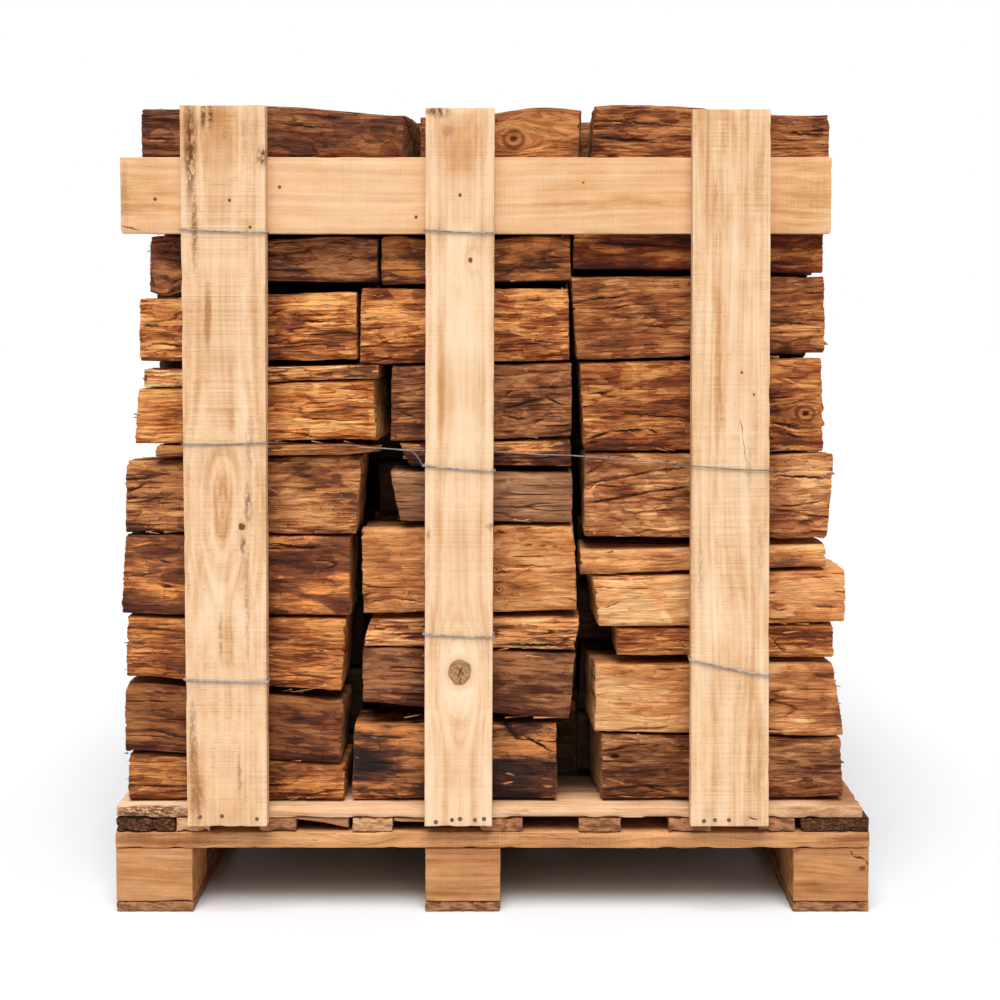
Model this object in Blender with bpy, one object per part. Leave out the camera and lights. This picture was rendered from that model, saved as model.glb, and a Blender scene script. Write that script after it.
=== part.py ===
"""Pallet of firewood: a block pallet, a wired board crate and three stacked columns of split logs.

Metres, +Z up, +X to the right of the front, +Y towards the back.
The origin is on the ground, at the middle of the pallet.
Run with: blender --background --python part.py
"""

import random

import bmesh
import bpy
from mathutils import Matrix, Vector, noise

# ---------------------------------------------------------------- driving dimensions
MM = 0.001
CLEAR = 0.0003  # gap that touching pieces keep
JOIN = 0.0005  # how far nailed boards sink into each other before they are joined

PALLET_HALF = 0.500  # the pallet is one metre square
RUNNER_THICK = 0.014
BLOCK_HIGH = 0.072
STRINGER_THICK = 0.022
SLAT_THICK = 0.019
DECK_THICK = 0.015
BLOCK_DEEP = 0.100
RUNNER_SPANS = {"left": (-0.500, -0.397), "middle": (-0.090, 0.011), "right": (0.398, 0.500)}
BLOCK_ROWS = (-PALLET_HALF, -BLOCK_DEEP / 2, PALLET_HALF - BLOCK_DEEP)
SLAT_SPANS = (
    (-0.499, -0.420), (-0.419, -0.374), (-0.310, -0.260), (-0.186, -0.132), (-0.017, 0.040),
    (0.114, 0.171), (0.233, 0.290), (0.351, 0.401), (0.408, 0.499),
)
DECK_BOARDS = 6
DECK_BOARD_WIDE = 0.138
DECK_SPAN = (-0.499, 0.490)

BLOCK_FOOT = RUNNER_THICK
STRINGER_FOOT = BLOCK_FOOT + BLOCK_HIGH
SLAT_FOOT = STRINGER_FOOT + STRINGER_THICK
DECK_FOOT = SLAT_FOOT + SLAT_THICK
DECK_TOP = DECK_FOOT + DECK_THICK

BOARD_THICK = 0.020  # uprights and rails
UPRIGHT_FOOT = 0.122
# Each upright leans a little: its left and right edge at the foot, then at the top, and its top.
UPRIGHTS = {
    "left": (-0.400, -0.295, -0.400, -0.290, 1.060),
    "middle": (-0.089, 0.000, -0.085, 0.004, 1.057),
    "right": (0.260, 0.363, 0.257, 0.357, 1.055),
}
RAIL_FOOT = 0.897
RAIL_TOP = 0.996
RAIL_SPAN = (-0.482, 0.440)

LOG_FACE = PALLET_HALF - BOARD_THICK - 0.002  # how far the log faces stand from the middle
REAR_FACE = 0.360  # where the front logs end and the rear stack begins
LOG_DEPTH = 0.112

WIRE_RADIUS = 0.0013
WIRE_OFF = 0.0018  # centre of the wire off the wood it is pulled round
STRAND_APART = 0.020  # half the distance between a tie's two strands inside the load
CHANNEL_WIDE = 0.060
CHANNEL_HIGH = 0.0085

# The front logs from the deck up, in millimetres: the four corners of each log's face, as
# (left, height) and (right, height) along the bottom, then along the top.
FRONT_LOGS = {
    "left": (
        ((-487, 143), (-200, 143), (-486, 206), (-197, 190)),
        ((-490, 209), (-204, 193), (-489, 301), (-199, 277)),
        ((-487, 312), (-202, 289), (-486, 391), (-195, 388)),
        ((-488, 394), (-190, 391), (-487, 501), (-189, 497)),
        ((-487, 503), (-182, 500), (-484, 598), (-172, 606)),
        ((-473, 621), (-151, 627), (-466, 694), (-153, 707)),
        ((-459, 696), (-150, 709), (-459, 719), (-150, 726)),
        ((-464, 730), (-179, 733), (-464, 813), (-179, 823)),
        ((-450, 839), (-151, 842), (-449, 890), (-151, 890)),
        ((-458, 899), (-151, 899), (-457, 1008), (-151, 1008)),
        ((-459, 1011), (-118, 1011), (-458, 1063), (-118, 1051)),
    ),
    "middle": (
        ((-187, 143), (85, 143), (-185, 243), (85, 247)),
        ((-173, 277), (101, 251), (-172, 349), (110, 341)),
        ((-168, 352), (112, 345), (-168, 386), (112, 391)),
        ((-171, 395), (112, 398), (-174, 507), (107, 514)),
        ((-122, 518), (105, 517), (-135, 585), (105, 583)),
        ((-108, 592), (103, 592), (-122, 622), (102, 627)),
        ((-134, 625), (104, 631), (-132, 725), (104, 729)),
        ((-175, 727), (101, 732), (-172, 827), (100, 826)),
        ((-145, 832), (102, 838), (-145, 890), (102, 890)),
        ((-141, 899), (102, 899), (-140, 968), (102, 971)),
        ((-93, 971), (113, 974), (-93, 1049), (113, 1056)),
    ),
    "right": (
        ((148, 143), (466, 147), (147, 233), (466, 226)),
        ((139, 236), (469, 229), (139, 326), (453, 328)),
        ((166, 339), (453, 335), (166, 374), (453, 379)),
        ((147, 377), (470, 383), (141, 443), (466, 455)),
        ((117, 446), (442, 459), (117, 479), (441, 488)),
        ((122, 498), (443, 495), (122, 609), (451, 607)),
        ((122, 612), (437, 611), (115, 729), (433, 736)),
        ((112, 732), (437, 742), (103, 842), (436, 842)),
        ((107, 854), (434, 847), (107, 942), (433, 942)),
        ((128, 945), (441, 945), (134, 1066), (440, 1055)),
    ),
}

# The stack behind: the heights between its courses, the ends of its block and the most that a
# log end stands proud of them on the left and on the right. Ends that face another column are flat.
REAR_STACKS = {
    "left": ((0.1423, 0.200, 0.295, 0.391, 0.501, 0.612, 0.727, 0.830, 0.8945, 1.009, 1.052),
             (-0.465, -0.188), (0.008, 0.0)),
    "middle": ((0.1423, 0.258, 0.3925, 0.513, 0.588, 0.728, 0.829, 0.8945, 0.970, 1.046),
               (-0.165, 0.098), (0.0, 0.0)),
    "right": ((0.1423, 0.233, 0.332, 0.415, 0.494, 0.611, 0.731, 0.846, 0.9435, 1.054),
              (0.123, 0.447), (0.0, 0.008)),
}
REAR_LOGS_DEEP = 8
NODE_SHIFT_Y = 0.013  # how far an inner corner between log ends may wander
NODE_SHIFT_Z = 0.009
END_GROOVE = 0.0025
BACK_PROUD = 0.002
TOP_PROUD = 0.008
BARK_SHARE = 3  # one front log in three is shown as split wood

WEAR = 0.035  # most that soft noise draws a log's skin towards its heart
WEAR_GRAIN = 14  # how often that noise repeats in a metre
PINCH = 0.04
LOG_ROUND = 0.008
LOG_CUTS = 4

# Ties: the upright, the wire's height at its left and right edge, and the height at which the
# two strands pass through the load.
TIES = {
    "tie_left_low": ("left", 0.317, 0.314, 0.295),
    "tie_left_top": ("left", 0.902, 0.898, 0.8945),
    "tie_middle_low": ("middle", 0.377, 0.373, 0.3925),
    "tie_middle_half": ("middle", 0.597, 0.590, 0.588),
    "tie_middle_top": ("middle", 0.901, 0.897, 0.8945),
    "tie_right_low": ("right", 0.343, 0.322, 0.332),
}

PINE = (0.78, 0.55, 0.32)
PALLET_WOOD = (0.56, 0.34, 0.17)
BARK_LOG = (0.33, 0.16, 0.07)
SPLIT_LOG = (0.47, 0.26, 0.12)
GALVANISED = (0.36, 0.40, 0.44)

# ---------------------------------------------------------------- scene and small helpers
for old in list(bpy.data.objects):
    bpy.data.objects.remove(old, do_unlink=True)

parts = bpy.data.collections.new("pallet_of_firewood")
cutters = bpy.data.collections.new("cutters")
for collection in (parts, cutters):
    bpy.context.scene.collection.children.link(collection)


def finish(name, colour, roughness=0.8, metallic=0.0):
    """A part's own material."""
    material = bpy.data.materials.new(name + "_finish")
    material.use_nodes = True
    shader = material.node_tree.nodes["Principled BSDF"]
    shader.inputs["Base Color"].default_value = (*colour, 1.0)
    shader.inputs["Roughness"].default_value = roughness
    shader.inputs["Metallic"].default_value = metallic
    material.diffuse_color = (*colour, 1.0)
    return material


def add_part(name, bm, material, collection=parts):
    """Turn a bmesh into a named object, and free the bmesh."""
    bmesh.ops.recalc_face_normals(bm, faces=bm.faces)
    mesh = bpy.data.meshes.new(name)
    bm.to_mesh(mesh)
    bm.free()
    obj = bpy.data.objects.new(name, mesh)
    if material:
        obj.data.materials.append(material)
    collection.objects.link(obj)
    return obj


def add_box(bm, low, high):
    """A box between two corners."""
    size = Vector(high) - Vector(low)
    middle = (Vector(high) + Vector(low)) / 2
    matrix = Matrix.Translation(middle) @ Matrix.Diagonal((*size, 1.0))
    bmesh.ops.create_cube(bm, size=1.0, matrix=matrix)


def box_part(name, low, high, material):
    bm = bmesh.new()
    add_box(bm, low, high)
    return add_part(name, bm, material)


def as_helper(obj):
    """Keep an operand out of the part: it is drawn as wire and not rendered."""
    obj.hide_render = True
    obj.display_type = "WIRE"
    return obj


def boolean(obj, operation, other):
    modifier = obj.modifiers.new(operation.lower(), "BOOLEAN")
    modifier.operation = operation
    modifier.solver = "EXACT"
    modifier.object = other


def lerp(a, b, t):
    return a + (b - a) * t


def slab(corners, near, far, pinch=0.0):
    """A cube pulled to a four-cornered face (bottom left and right, top left and right) that runs
    from near to far along Y, with its far side pinched by a share of the height."""
    bm = bmesh.new()
    bmesh.ops.create_cube(bm, size=1.0)
    low_left, low_right, top_left, top_right = (Vector(corner) for corner in corners)
    for vert in bm.verts:
        u, v, w = (value + 0.5 for value in vert.co)
        squeeze = pinch * v
        at = low_left.lerp(low_right, u).lerp(top_left.lerp(top_right, u), lerp(squeeze, 1 - squeeze, w))
        vert.co = (at.x, lerp(near, far, v), at.y)
    return bm


def edges_along_x(bm):
    found = []
    for edge in bm.edges:
        run = edge.verts[1].co - edge.verts[0].co
        if abs(run.x) > 4 * max(abs(run.y), abs(run.z)):
            found.append(edge)
    return found


# ---------------------------------------------------------------- pallet
def skid(side, span):
    """A runner board with its three blocks nailed on."""
    board = bmesh.new()
    add_box(board, (span[0], -PALLET_HALF, 0), (span[1], PALLET_HALF, RUNNER_THICK))
    blocks = bmesh.new()
    inset = 0.0005
    for row in BLOCK_ROWS:
        add_box(blocks, (span[0] + inset, row + inset, BLOCK_FOOT - JOIN),
                (span[1] - inset, row + BLOCK_DEEP - inset, STRINGER_FOOT - CLEAR))
    obj = add_part("skid_" + side, board, finish("skid_" + side, PALLET_WOOD, 0.85))
    boolean(obj, "UNION", as_helper(add_part("blocks_" + side, blocks, None, cutters)))


for side, span in RUNNER_SPANS.items():
    skid(side, span)

stringers = bmesh.new()
for row in BLOCK_ROWS:
    add_box(stringers, (-PALLET_HALF, row, STRINGER_FOOT),
            (PALLET_HALF, row + BLOCK_DEEP, SLAT_FOOT))
slats = bmesh.new()
for left, right in SLAT_SPANS:
    add_box(slats, (left, JOIN - PALLET_HALF, SLAT_FOOT - JOIN),
            (right, PALLET_HALF - JOIN, DECK_FOOT - CLEAR))
base = add_part("slatted_base", stringers, finish("slatted_base", PALLET_WOOD, 0.85))
boolean(base, "UNION", as_helper(add_part("slats", slats, None, cutters)))

deck_pitch = (2 * PALLET_HALF - DECK_BOARD_WIDE) / (DECK_BOARDS - 1)
for index in range(DECK_BOARDS):
    name = f"deck_board_{index + 1}"
    front = -PALLET_HALF + index * deck_pitch
    box_part(name, (DECK_SPAN[0], front, DECK_FOOT),
             (DECK_SPAN[1], front + DECK_BOARD_WIDE, DECK_TOP), finish(name, PALLET_WOOD, 0.8))


# ---------------------------------------------------------------- crate
def crate_face(face, way):
    """Three uprights outside the pallet's edge and one rail inside them: way is -1 or 1 along Y."""
    for side, (foot_left, foot_right, top_left, top_right, top) in UPRIGHTS.items():
        corners = ((foot_left, UPRIGHT_FOOT), (foot_right, UPRIGHT_FOOT), (top_left, top), (top_right, top))
        near = way * (PALLET_HALF + CLEAR)
        far = way * (PALLET_HALF + BOARD_THICK)
        name = f"upright_{face}_{side}"
        add_part(name, slab(corners, min(near, far), max(near, far)), finish(name, PINE, 0.6))
    left, right = RAIL_SPAN if way < 0 else (-RAIL_SPAN[1], -RAIL_SPAN[0])
    inner = way * (PALLET_HALF - BOARD_THICK + CLEAR)
    outer = way * PALLET_HALF
    name = "rail_" + face
    box_part(name, (left, min(inner, outer), RAIL_FOOT), (right, max(inner, outer), RAIL_TOP),
             finish(name, PINE, 0.6))


crate_face("front", -1)
crate_face("back", 1)


# ---------------------------------------------------------------- front logs
def split_log(name, corners, seed):
    """One split log lying along X: a pinched slab with round edges, worn inwards by soft noise."""
    metres = [(x * MM, z * MM) for x, z in corners]
    thin = min(metres[2][1] - metres[0][1], metres[3][1] - metres[1][1])
    bm = slab(metres, -LOG_FACE, -LOG_FACE + LOG_DEPTH, pinch=PINCH)
    bmesh.ops.subdivide_edges(bm, edges=edges_along_x(bm), cuts=LOG_CUTS)
    bmesh.ops.bevel(bm, geom=edges_along_x(bm), offset=min(LOG_ROUND, thin * 0.3), segments=2,
                    profile=0.5, affect="EDGES", material=-1)
    heart_y = -LOG_FACE + LOG_DEPTH / 2
    heart_z = sum(z for _, z in metres) / 4
    for vert in bm.verts:
        wear = 0.5 + 0.5 * noise.noise(vert.co * WEAR_GRAIN + Vector((seed * 7.3, 0, 0)))
        share = WEAR * min(1.0, max(0.0, wear))
        vert.co.y = lerp(vert.co.y, heart_y, share)
        vert.co.z = lerp(vert.co.z, heart_z, share * 0.5)
    colour = BARK_LOG if seed % BARK_SHARE else SPLIT_LOG
    add_part(name, bm, finish(name, colour, 0.9))


seed = 0
for column, logs in FRONT_LOGS.items():
    for number, corners in enumerate(logs, 1):
        seed += 1
        split_log(f"log_{column}_{number:02d}", corners, seed)


# ---------------------------------------------------------------- stack behind the front logs
def rear_nodes(levels, rng):
    """The corners between the log ends, as rows of (y, z). The outermost ones stay in line."""
    pitch = (LOG_FACE + REAR_FACE) / REAR_LOGS_DEEP
    rows = []
    for k, level in enumerate(levels):
        row = []
        for j in range(REAR_LOGS_DEEP + 1):
            y = -REAR_FACE + j * pitch
            z = level
            if 0 < j < REAR_LOGS_DEEP and 0 < k < len(levels) - 1:
                y += rng.uniform(-NODE_SHIFT_Y, NODE_SHIFT_Y)
                z += rng.uniform(-NODE_SHIFT_Z, NODE_SHIFT_Z)
            row.append((y, z))
        rows.append(row)
    return rows


def rear_stack(column, levels, span, proud, seed):
    """The logs behind the front ones, laid course on course: one block with a boss for each log's
    end and each outer log's back, and a channel for every tie."""
    rng = random.Random(seed)
    nodes = rear_nodes(levels, rng)
    bm = bmesh.new()
    courses = len(levels) - 1
    bmesh.ops.create_grid(bm, x_segments=REAR_LOGS_DEEP, y_segments=courses, size=0.5)
    for vert in bm.verts:
        j = round((vert.co.x + 0.5) * REAR_LOGS_DEEP)
        k = round((vert.co.y + 0.5) * courses)
        vert.co = (span[0], *nodes[k][j])
    grown = bmesh.ops.extrude_face_region(bm, geom=bm.faces[:])["geom"]
    for vert in grown:
        if isinstance(vert, bmesh.types.BMVert):
            vert.co.x = span[1]
    bmesh.ops.recalc_face_normals(bm, faces=bm.faces)
    bm.normal_update()
    sides = (
        ([face for face in bm.faces if face.normal.x < -0.9], proud[0]),
        ([face for face in bm.faces if face.normal.x > 0.9], proud[1]),
        ([face for face in bm.faces if face.normal.y > 0.9], BACK_PROUD),
        ([face for face in bm.faces if face.normal.z > 0.9], TOP_PROUD),
    )
    for faces, most in sides:
        for face in faces:
            if most:
                bmesh.ops.inset_individual(bm, faces=[face], thickness=END_GROOVE,
                                           depth=rng.uniform(0.25, 1.0) * most)
    name = "rear_logs_" + column
    obj = add_part(name, bm, finish(name, BARK_LOG, 0.9))
    channels = bmesh.new()
    for upright, _, _, height in TIES.values():
        if upright == column:
            middle = upright_middle(column)
            add_box(channels, (middle - CHANNEL_WIDE / 2, -PALLET_HALF, height - CHANNEL_HIGH / 2),
                    (middle + CHANNEL_WIDE / 2, PALLET_HALF, height + CHANNEL_HIGH / 2))
    boolean(obj, "DIFFERENCE", as_helper(add_part("channels_" + column, channels, None, cutters)))


def upright_middle(side):
    foot_left, foot_right, top_left, top_right, _ = UPRIGHTS[side]
    return (foot_left + foot_right + top_left + top_right) / 4


for number, (column, (levels, span, proud)) in enumerate(REAR_STACKS.items()):
    rear_stack(column, levels, span, proud, seed=20 + number)


# ---------------------------------------------------------------- wires
def wire(name, points):
    """A closed loop of galvanised wire through the points."""
    curve = bpy.data.curves.new(name, "CURVE")
    curve.dimensions = "3D"
    curve.bevel_depth = WIRE_RADIUS
    curve.bevel_resolution = 2
    curve.use_fill_caps = True
    spline = curve.splines.new("POLY")
    spline.points.add(len(points) - 1)
    for point, place in zip(spline.points, points):
        point.co = (*place, 1.0)
    spline.use_cyclic_u = True
    curve.materials.append(finish(name, GALVANISED, 0.45, 0.8))
    parts.objects.link(bpy.data.objects.new(name, curve))


def upright_edge(side, at, height):
    """The x of an upright's left (0) or right (1) edge at a height."""
    foot_left, foot_right, top_left, top_right, top = UPRIGHTS[side]
    share = (height - UPRIGHT_FOOT) / (top - UPRIGHT_FOOT)
    return lerp((foot_left, foot_right)[at], (top_left, top_right)[at], share)


def round_upright(side, left_height, right_height, way):
    """The wire's points round an upright's outer face, from its left edge to its right one."""
    left = upright_edge(side, 0, left_height)
    right = upright_edge(side, 1, right_height)
    face = PALLET_HALF + BOARD_THICK
    outer, corner, beside = (way * (face + off) for off in (WIRE_OFF, WIRE_OFF * 0.75, -0.0004))
    return [
        (left - WIRE_OFF, beside, left_height), (left - WIRE_OFF * 0.75, corner, left_height),
        (left + 0.0004, outer, left_height), (right - 0.0004, outer, right_height),
        (right + WIRE_OFF * 0.75, corner, right_height), (right + WIRE_OFF, beside, right_height),
    ]


def tie(name, side, left_height, right_height, inner_height):
    """A wire round the front upright, through the load, round the back upright and back again."""
    middle = upright_middle(side)
    turn = PALLET_HALF - WIRE_OFF
    inside = LOG_FACE + 0.003
    front = round_upright(side, left_height, right_height, -1)
    back = round_upright(side, left_height, right_height, 1)
    right_way = [(front[-1][0], -turn, inner_height), (middle + STRAND_APART, -inside, inner_height),
                 (middle + STRAND_APART, inside, inner_height), (front[-1][0], turn, inner_height)]
    left_way = [(front[0][0], turn, inner_height), (middle - STRAND_APART, inside, inner_height),
                (middle - STRAND_APART, -inside, inner_height), (front[0][0], -turn, inner_height)]
    wire(name, front + right_way + back[::-1] + left_way)


for name, (side, left_height, right_height, inner_height) in TIES.items():
    tie(name, side, left_height, right_height, inner_height)


def half_girth(way):
    """The girth wire along one long side, left to right: over the outer uprights and inside the
    middle one, across the faces of the logs. At the front left it slips between two logs."""
    near = LOG_FACE + 0.0125
    if way < 0:
        start = [(-0.4755, -0.3640, 0.6105), (-0.4040, -0.4800, 0.6120)]
    else:
        start = [(-0.4755, 0.4770, 0.6100), (-0.4700, 0.4850, 0.6110), (-0.4200, 0.4905, 0.6160)]
    across = [(-0.268, 0.6225), (-0.148, 0.617), (-0.090, 0.613), (0.004, 0.612), (0.103, 0.607),
              (0.236, 0.5965)]
    return (
        start
        + round_upright("left", 0.625, 0.627, way)
        + [(x, way * near, z) for x, z in across]
        + round_upright("right", 0.597, 0.591, way)
        + [(0.385, way * 0.4905, 0.5900), (0.452, way * 0.4850, 0.5880), (0.4575, way * 0.4770, 0.5870)]
    )


wire("girth_wire", half_girth(-1) + half_girth(1)[::-1])
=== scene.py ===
"""Pallet of firewood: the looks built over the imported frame. Metres, +Z up, front along -Y."""

import itertools
import math
import random

import bmesh
import bpy
import numpy as np
from mathutils import Matrix, Vector
from mathutils.bvhtree import BVHTree


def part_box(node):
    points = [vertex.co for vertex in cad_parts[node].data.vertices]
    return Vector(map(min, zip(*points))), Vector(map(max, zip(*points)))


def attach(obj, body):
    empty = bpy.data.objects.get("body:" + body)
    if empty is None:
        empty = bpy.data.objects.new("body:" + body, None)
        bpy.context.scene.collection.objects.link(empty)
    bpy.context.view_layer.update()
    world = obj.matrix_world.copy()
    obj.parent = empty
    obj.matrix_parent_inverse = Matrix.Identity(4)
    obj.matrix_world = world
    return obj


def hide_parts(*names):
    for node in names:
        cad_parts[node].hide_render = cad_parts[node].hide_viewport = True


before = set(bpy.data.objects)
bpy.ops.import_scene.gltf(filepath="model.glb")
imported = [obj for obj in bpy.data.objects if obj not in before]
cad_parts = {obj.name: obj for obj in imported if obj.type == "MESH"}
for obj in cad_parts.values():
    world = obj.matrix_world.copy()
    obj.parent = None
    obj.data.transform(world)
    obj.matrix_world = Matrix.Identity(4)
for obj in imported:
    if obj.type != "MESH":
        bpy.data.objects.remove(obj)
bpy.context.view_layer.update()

# ---------------------------------------------------------------- camera
# A product shot from in front, at chest height and tipped down a little, with the lens shifted to
# centre the load.
CAMERA_PLACE = (0.0232, -2.5, 0.7956)
CAMERA_TIP = math.radians(3.0)
SENSOR_WIDTH = 36
LENS = 55.28
LENS_SHIFT = (-0.010, -0.1075)


def put(name, data):
    """Stands a mesh, a curve, a light or a camera in the scene."""
    obj = bpy.data.objects.new(name, data)
    bpy.context.scene.collection.objects.link(obj)
    return obj


camera = put("camera", bpy.data.cameras.new("camera"))
camera.location = CAMERA_PLACE
camera.rotation_euler = (math.pi / 2 - CAMERA_TIP, 0, 0)
camera.data.sensor_width = SENSOR_WIDTH
camera.data.lens = LENS
camera.data.shift_x, camera.data.shift_y = LENS_SHIFT
bpy.context.scene.camera = camera

# ---------------------------------------------------------------- front logs
# Split hardwood logs lying along X, one piece for each solid of the frame. Each is a closed tube
# with capped ends, laid over its solid and carved with ledges, fibres and cracks by noise.
MM = 0.001
BLACK = "#000000"
WHITE = "#FFFFFF"
LATTICE = np.random.default_rng(5).uniform(-1, 1, (32, 32, 32))


def cloud(points, seed):
    """Smooth noise, from -1 to 1, at an array of points one unit of noise apart."""
    at = points + seed * np.array((3.17, 5.71, 7.39))
    cell = np.floor(at).astype(int)
    part = at - cell
    part = part * part * (3 - 2 * part)
    total = np.zeros(at.shape[:-1])
    for corner in itertools.product((0, 1), repeat=3):
        near = np.where(corner, part, 1 - part)
        x, y, z = np.moveaxis((cell + corner) % 32, -1, 0)
        total += near[..., 0] * near[..., 1] * near[..., 2] * LATTICE[x, y, z]
    return total


def ease(low, high, value):
    """0 below low, 1 above high, and a smooth step between them."""
    share = np.clip((value - low) / (high - low), 0, 1)
    return share * share * (3 - 2 * share)


def linear(hex_colour):
    """A colour written as #RRGGBB, as linear RGBA."""
    values = [int(hex_colour[i:i + 2], 16) / 255 for i in (1, 3, 5)]
    return (*(v / 12.92 if v <= 0.04045 else ((v + 0.055) / 1.055) ** 2.4 for v in values), 1.0)


def tint(hex_colour, factor):
    """A colour made darker or lighter, as linear RGBA."""
    return (*(min(1.0, v * factor) for v in linear(hex_colour)[:3]), 1.0)


class Value:
    """One output of a shader node. Arithmetic on values is done by nodes."""

    def __init__(self, socket):
        self.socket, self.tree = socket, socket.id_data

    def __getitem__(self, number):
        """Another output of the same node."""
        return Value(self.socket.node.outputs[number])

    def __add__(self, other):
        return add(self.tree, "Math", (self, other), operation="ADD")

    def __sub__(self, other):
        return add(self.tree, "Math", (self, other), operation="SUBTRACT")

    def __mul__(self, other):
        return add(self.tree, "Math", (self, other), operation="MULTIPLY")

    def __truediv__(self, other):
        return add(self.tree, "Math", (self, other), operation="DIVIDE")

    def __abs__(self):
        return add(self.tree, "Math", self, operation="ABSOLUTE")


def fill(socket, value):
    """Links a value into a socket, or sets the socket to a number or a colour."""
    if isinstance(value, Value):
        value.tree.links.new(value.socket, socket)
    else:
        socket.default_value = linear(value) if isinstance(value, str) else value


def add(tree, kind, inputs=(), out=0, stops=(), **settings):
    """Adds a shader node, sets it, fills its sockets and returns one of its outputs. The inputs are
    one value, a tuple in the sockets' order or a dict by socket; a ramp has (place, colour) stops."""
    made = tree.nodes.new("ShaderNode" + kind)
    for key, value in settings.items():
        setattr(made, key, value)
    inputs = inputs if isinstance(inputs, (tuple, dict)) else (inputs,)
    for socket, value in inputs.items() if isinstance(inputs, dict) else enumerate(inputs):
        fill(made.inputs[socket], value)
    for number, (place, colour) in enumerate(stops):
        element = made.color_ramp.elements[number] if number < 2 else made.color_ramp.elements.new(place)
        element.position = place
        element.color = linear(colour) if isinstance(colour, str) else colour
    return Value(made.outputs[out])


def new_material(name):
    material = bpy.data.materials.new(name)
    material.use_nodes = True
    tree = material.node_tree
    return material, tree, tree.nodes["Principled BSDF"]


def feed(shader, relief=None, **sockets):
    """Fills a shader's sockets. Relief is how strong it is, its depth in millimetres and its height."""
    names = {"colour": "Base Color", "roughness": "Roughness", "metallic": "Metallic",
             "specular": "Specular IOR Level"}
    for key, value in sockets.items():
        fill(shader.inputs[names[key]], value)
    if relief:
        strength, depth, height = relief
        bump = {"Strength": strength, "Distance": depth * MM, "Height": height}
        fill(shader.inputs["Normal"], add(height.tree, "Bump", bump))


def layered(base, *coats):
    """A colour with coats laid over it in turn, each given as how much of it and its colour."""
    for share, colour in coats:
        tree = (share if isinstance(share, Value) else base).tree
        base = add(tree, "Mix", {0: share, 6: base, 7: colour}, out=2, data_type="RGBA")
    return base


def scaled(coords, size):
    """Coordinates in which one unit is size millimetres along X, Y and Z."""
    return add(coords.tree, "Mapping", {"Vector": coords, "Scale": [1 / (each * MM) for each in size]})


def mottle(coords, size, detail=2.0, roughness=0.55, warp=0.0):
    """A cloudy pattern from 0 to 1, whose blobs are size millimetres along X, Y and Z."""
    return add(coords.tree, "TexNoise", {"Vector": scaled(coords, size), "Scale": 1.0, "Detail": detail,
                                         "Roughness": roughness, "Distortion": warp})


def oval(place, at, size, turn=0.0, inner=0.5, outer=1.3):
    """1 inside an oval and 0 outside it: its place and half sizes in millimetres, and its turn."""
    moved = add(place.tree, "Mapping", {"Vector": place, "Location": (at[0] * MM, at[1] * MM, 0),
                                        "Rotation": (0, 0, turn),
                                        "Scale": (size[0] * MM, size[1] * MM, 1)}, vector_type="TEXTURE")
    away = add(place.tree, "VectorMath", moved, out=1, operation="LENGTH")
    return add(place.tree, "MapRange", (away, inner, outer, 1.0, 0.0), interpolation_type="SMOOTHSTEP")


def line_mark(place, line):
    """1 along a thin line given as (from across, from up, to across, to up, width) in millimetres."""
    x0, z0, x1, z1, wide = line
    half = math.hypot(x1 - x0, z1 - z0) / 2
    return oval(place, ((x0 + x1) / 2, (z0 + z1) / 2), (half, wide), math.atan2(z1 - z0, x1 - x0))


def strongest(masks):
    found = masks[0]
    for mask in masks[1:]:
        found = add(mask.tree, "Math", (found, mask), operation="MAXIMUM")
    return found


# Sizes in millimetres along, across and through the layers of split wood. Far is one that is so
# long that a pattern doesn't change along it.
FAR = 900
PLATE = (19, 4.4, FAR)


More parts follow.
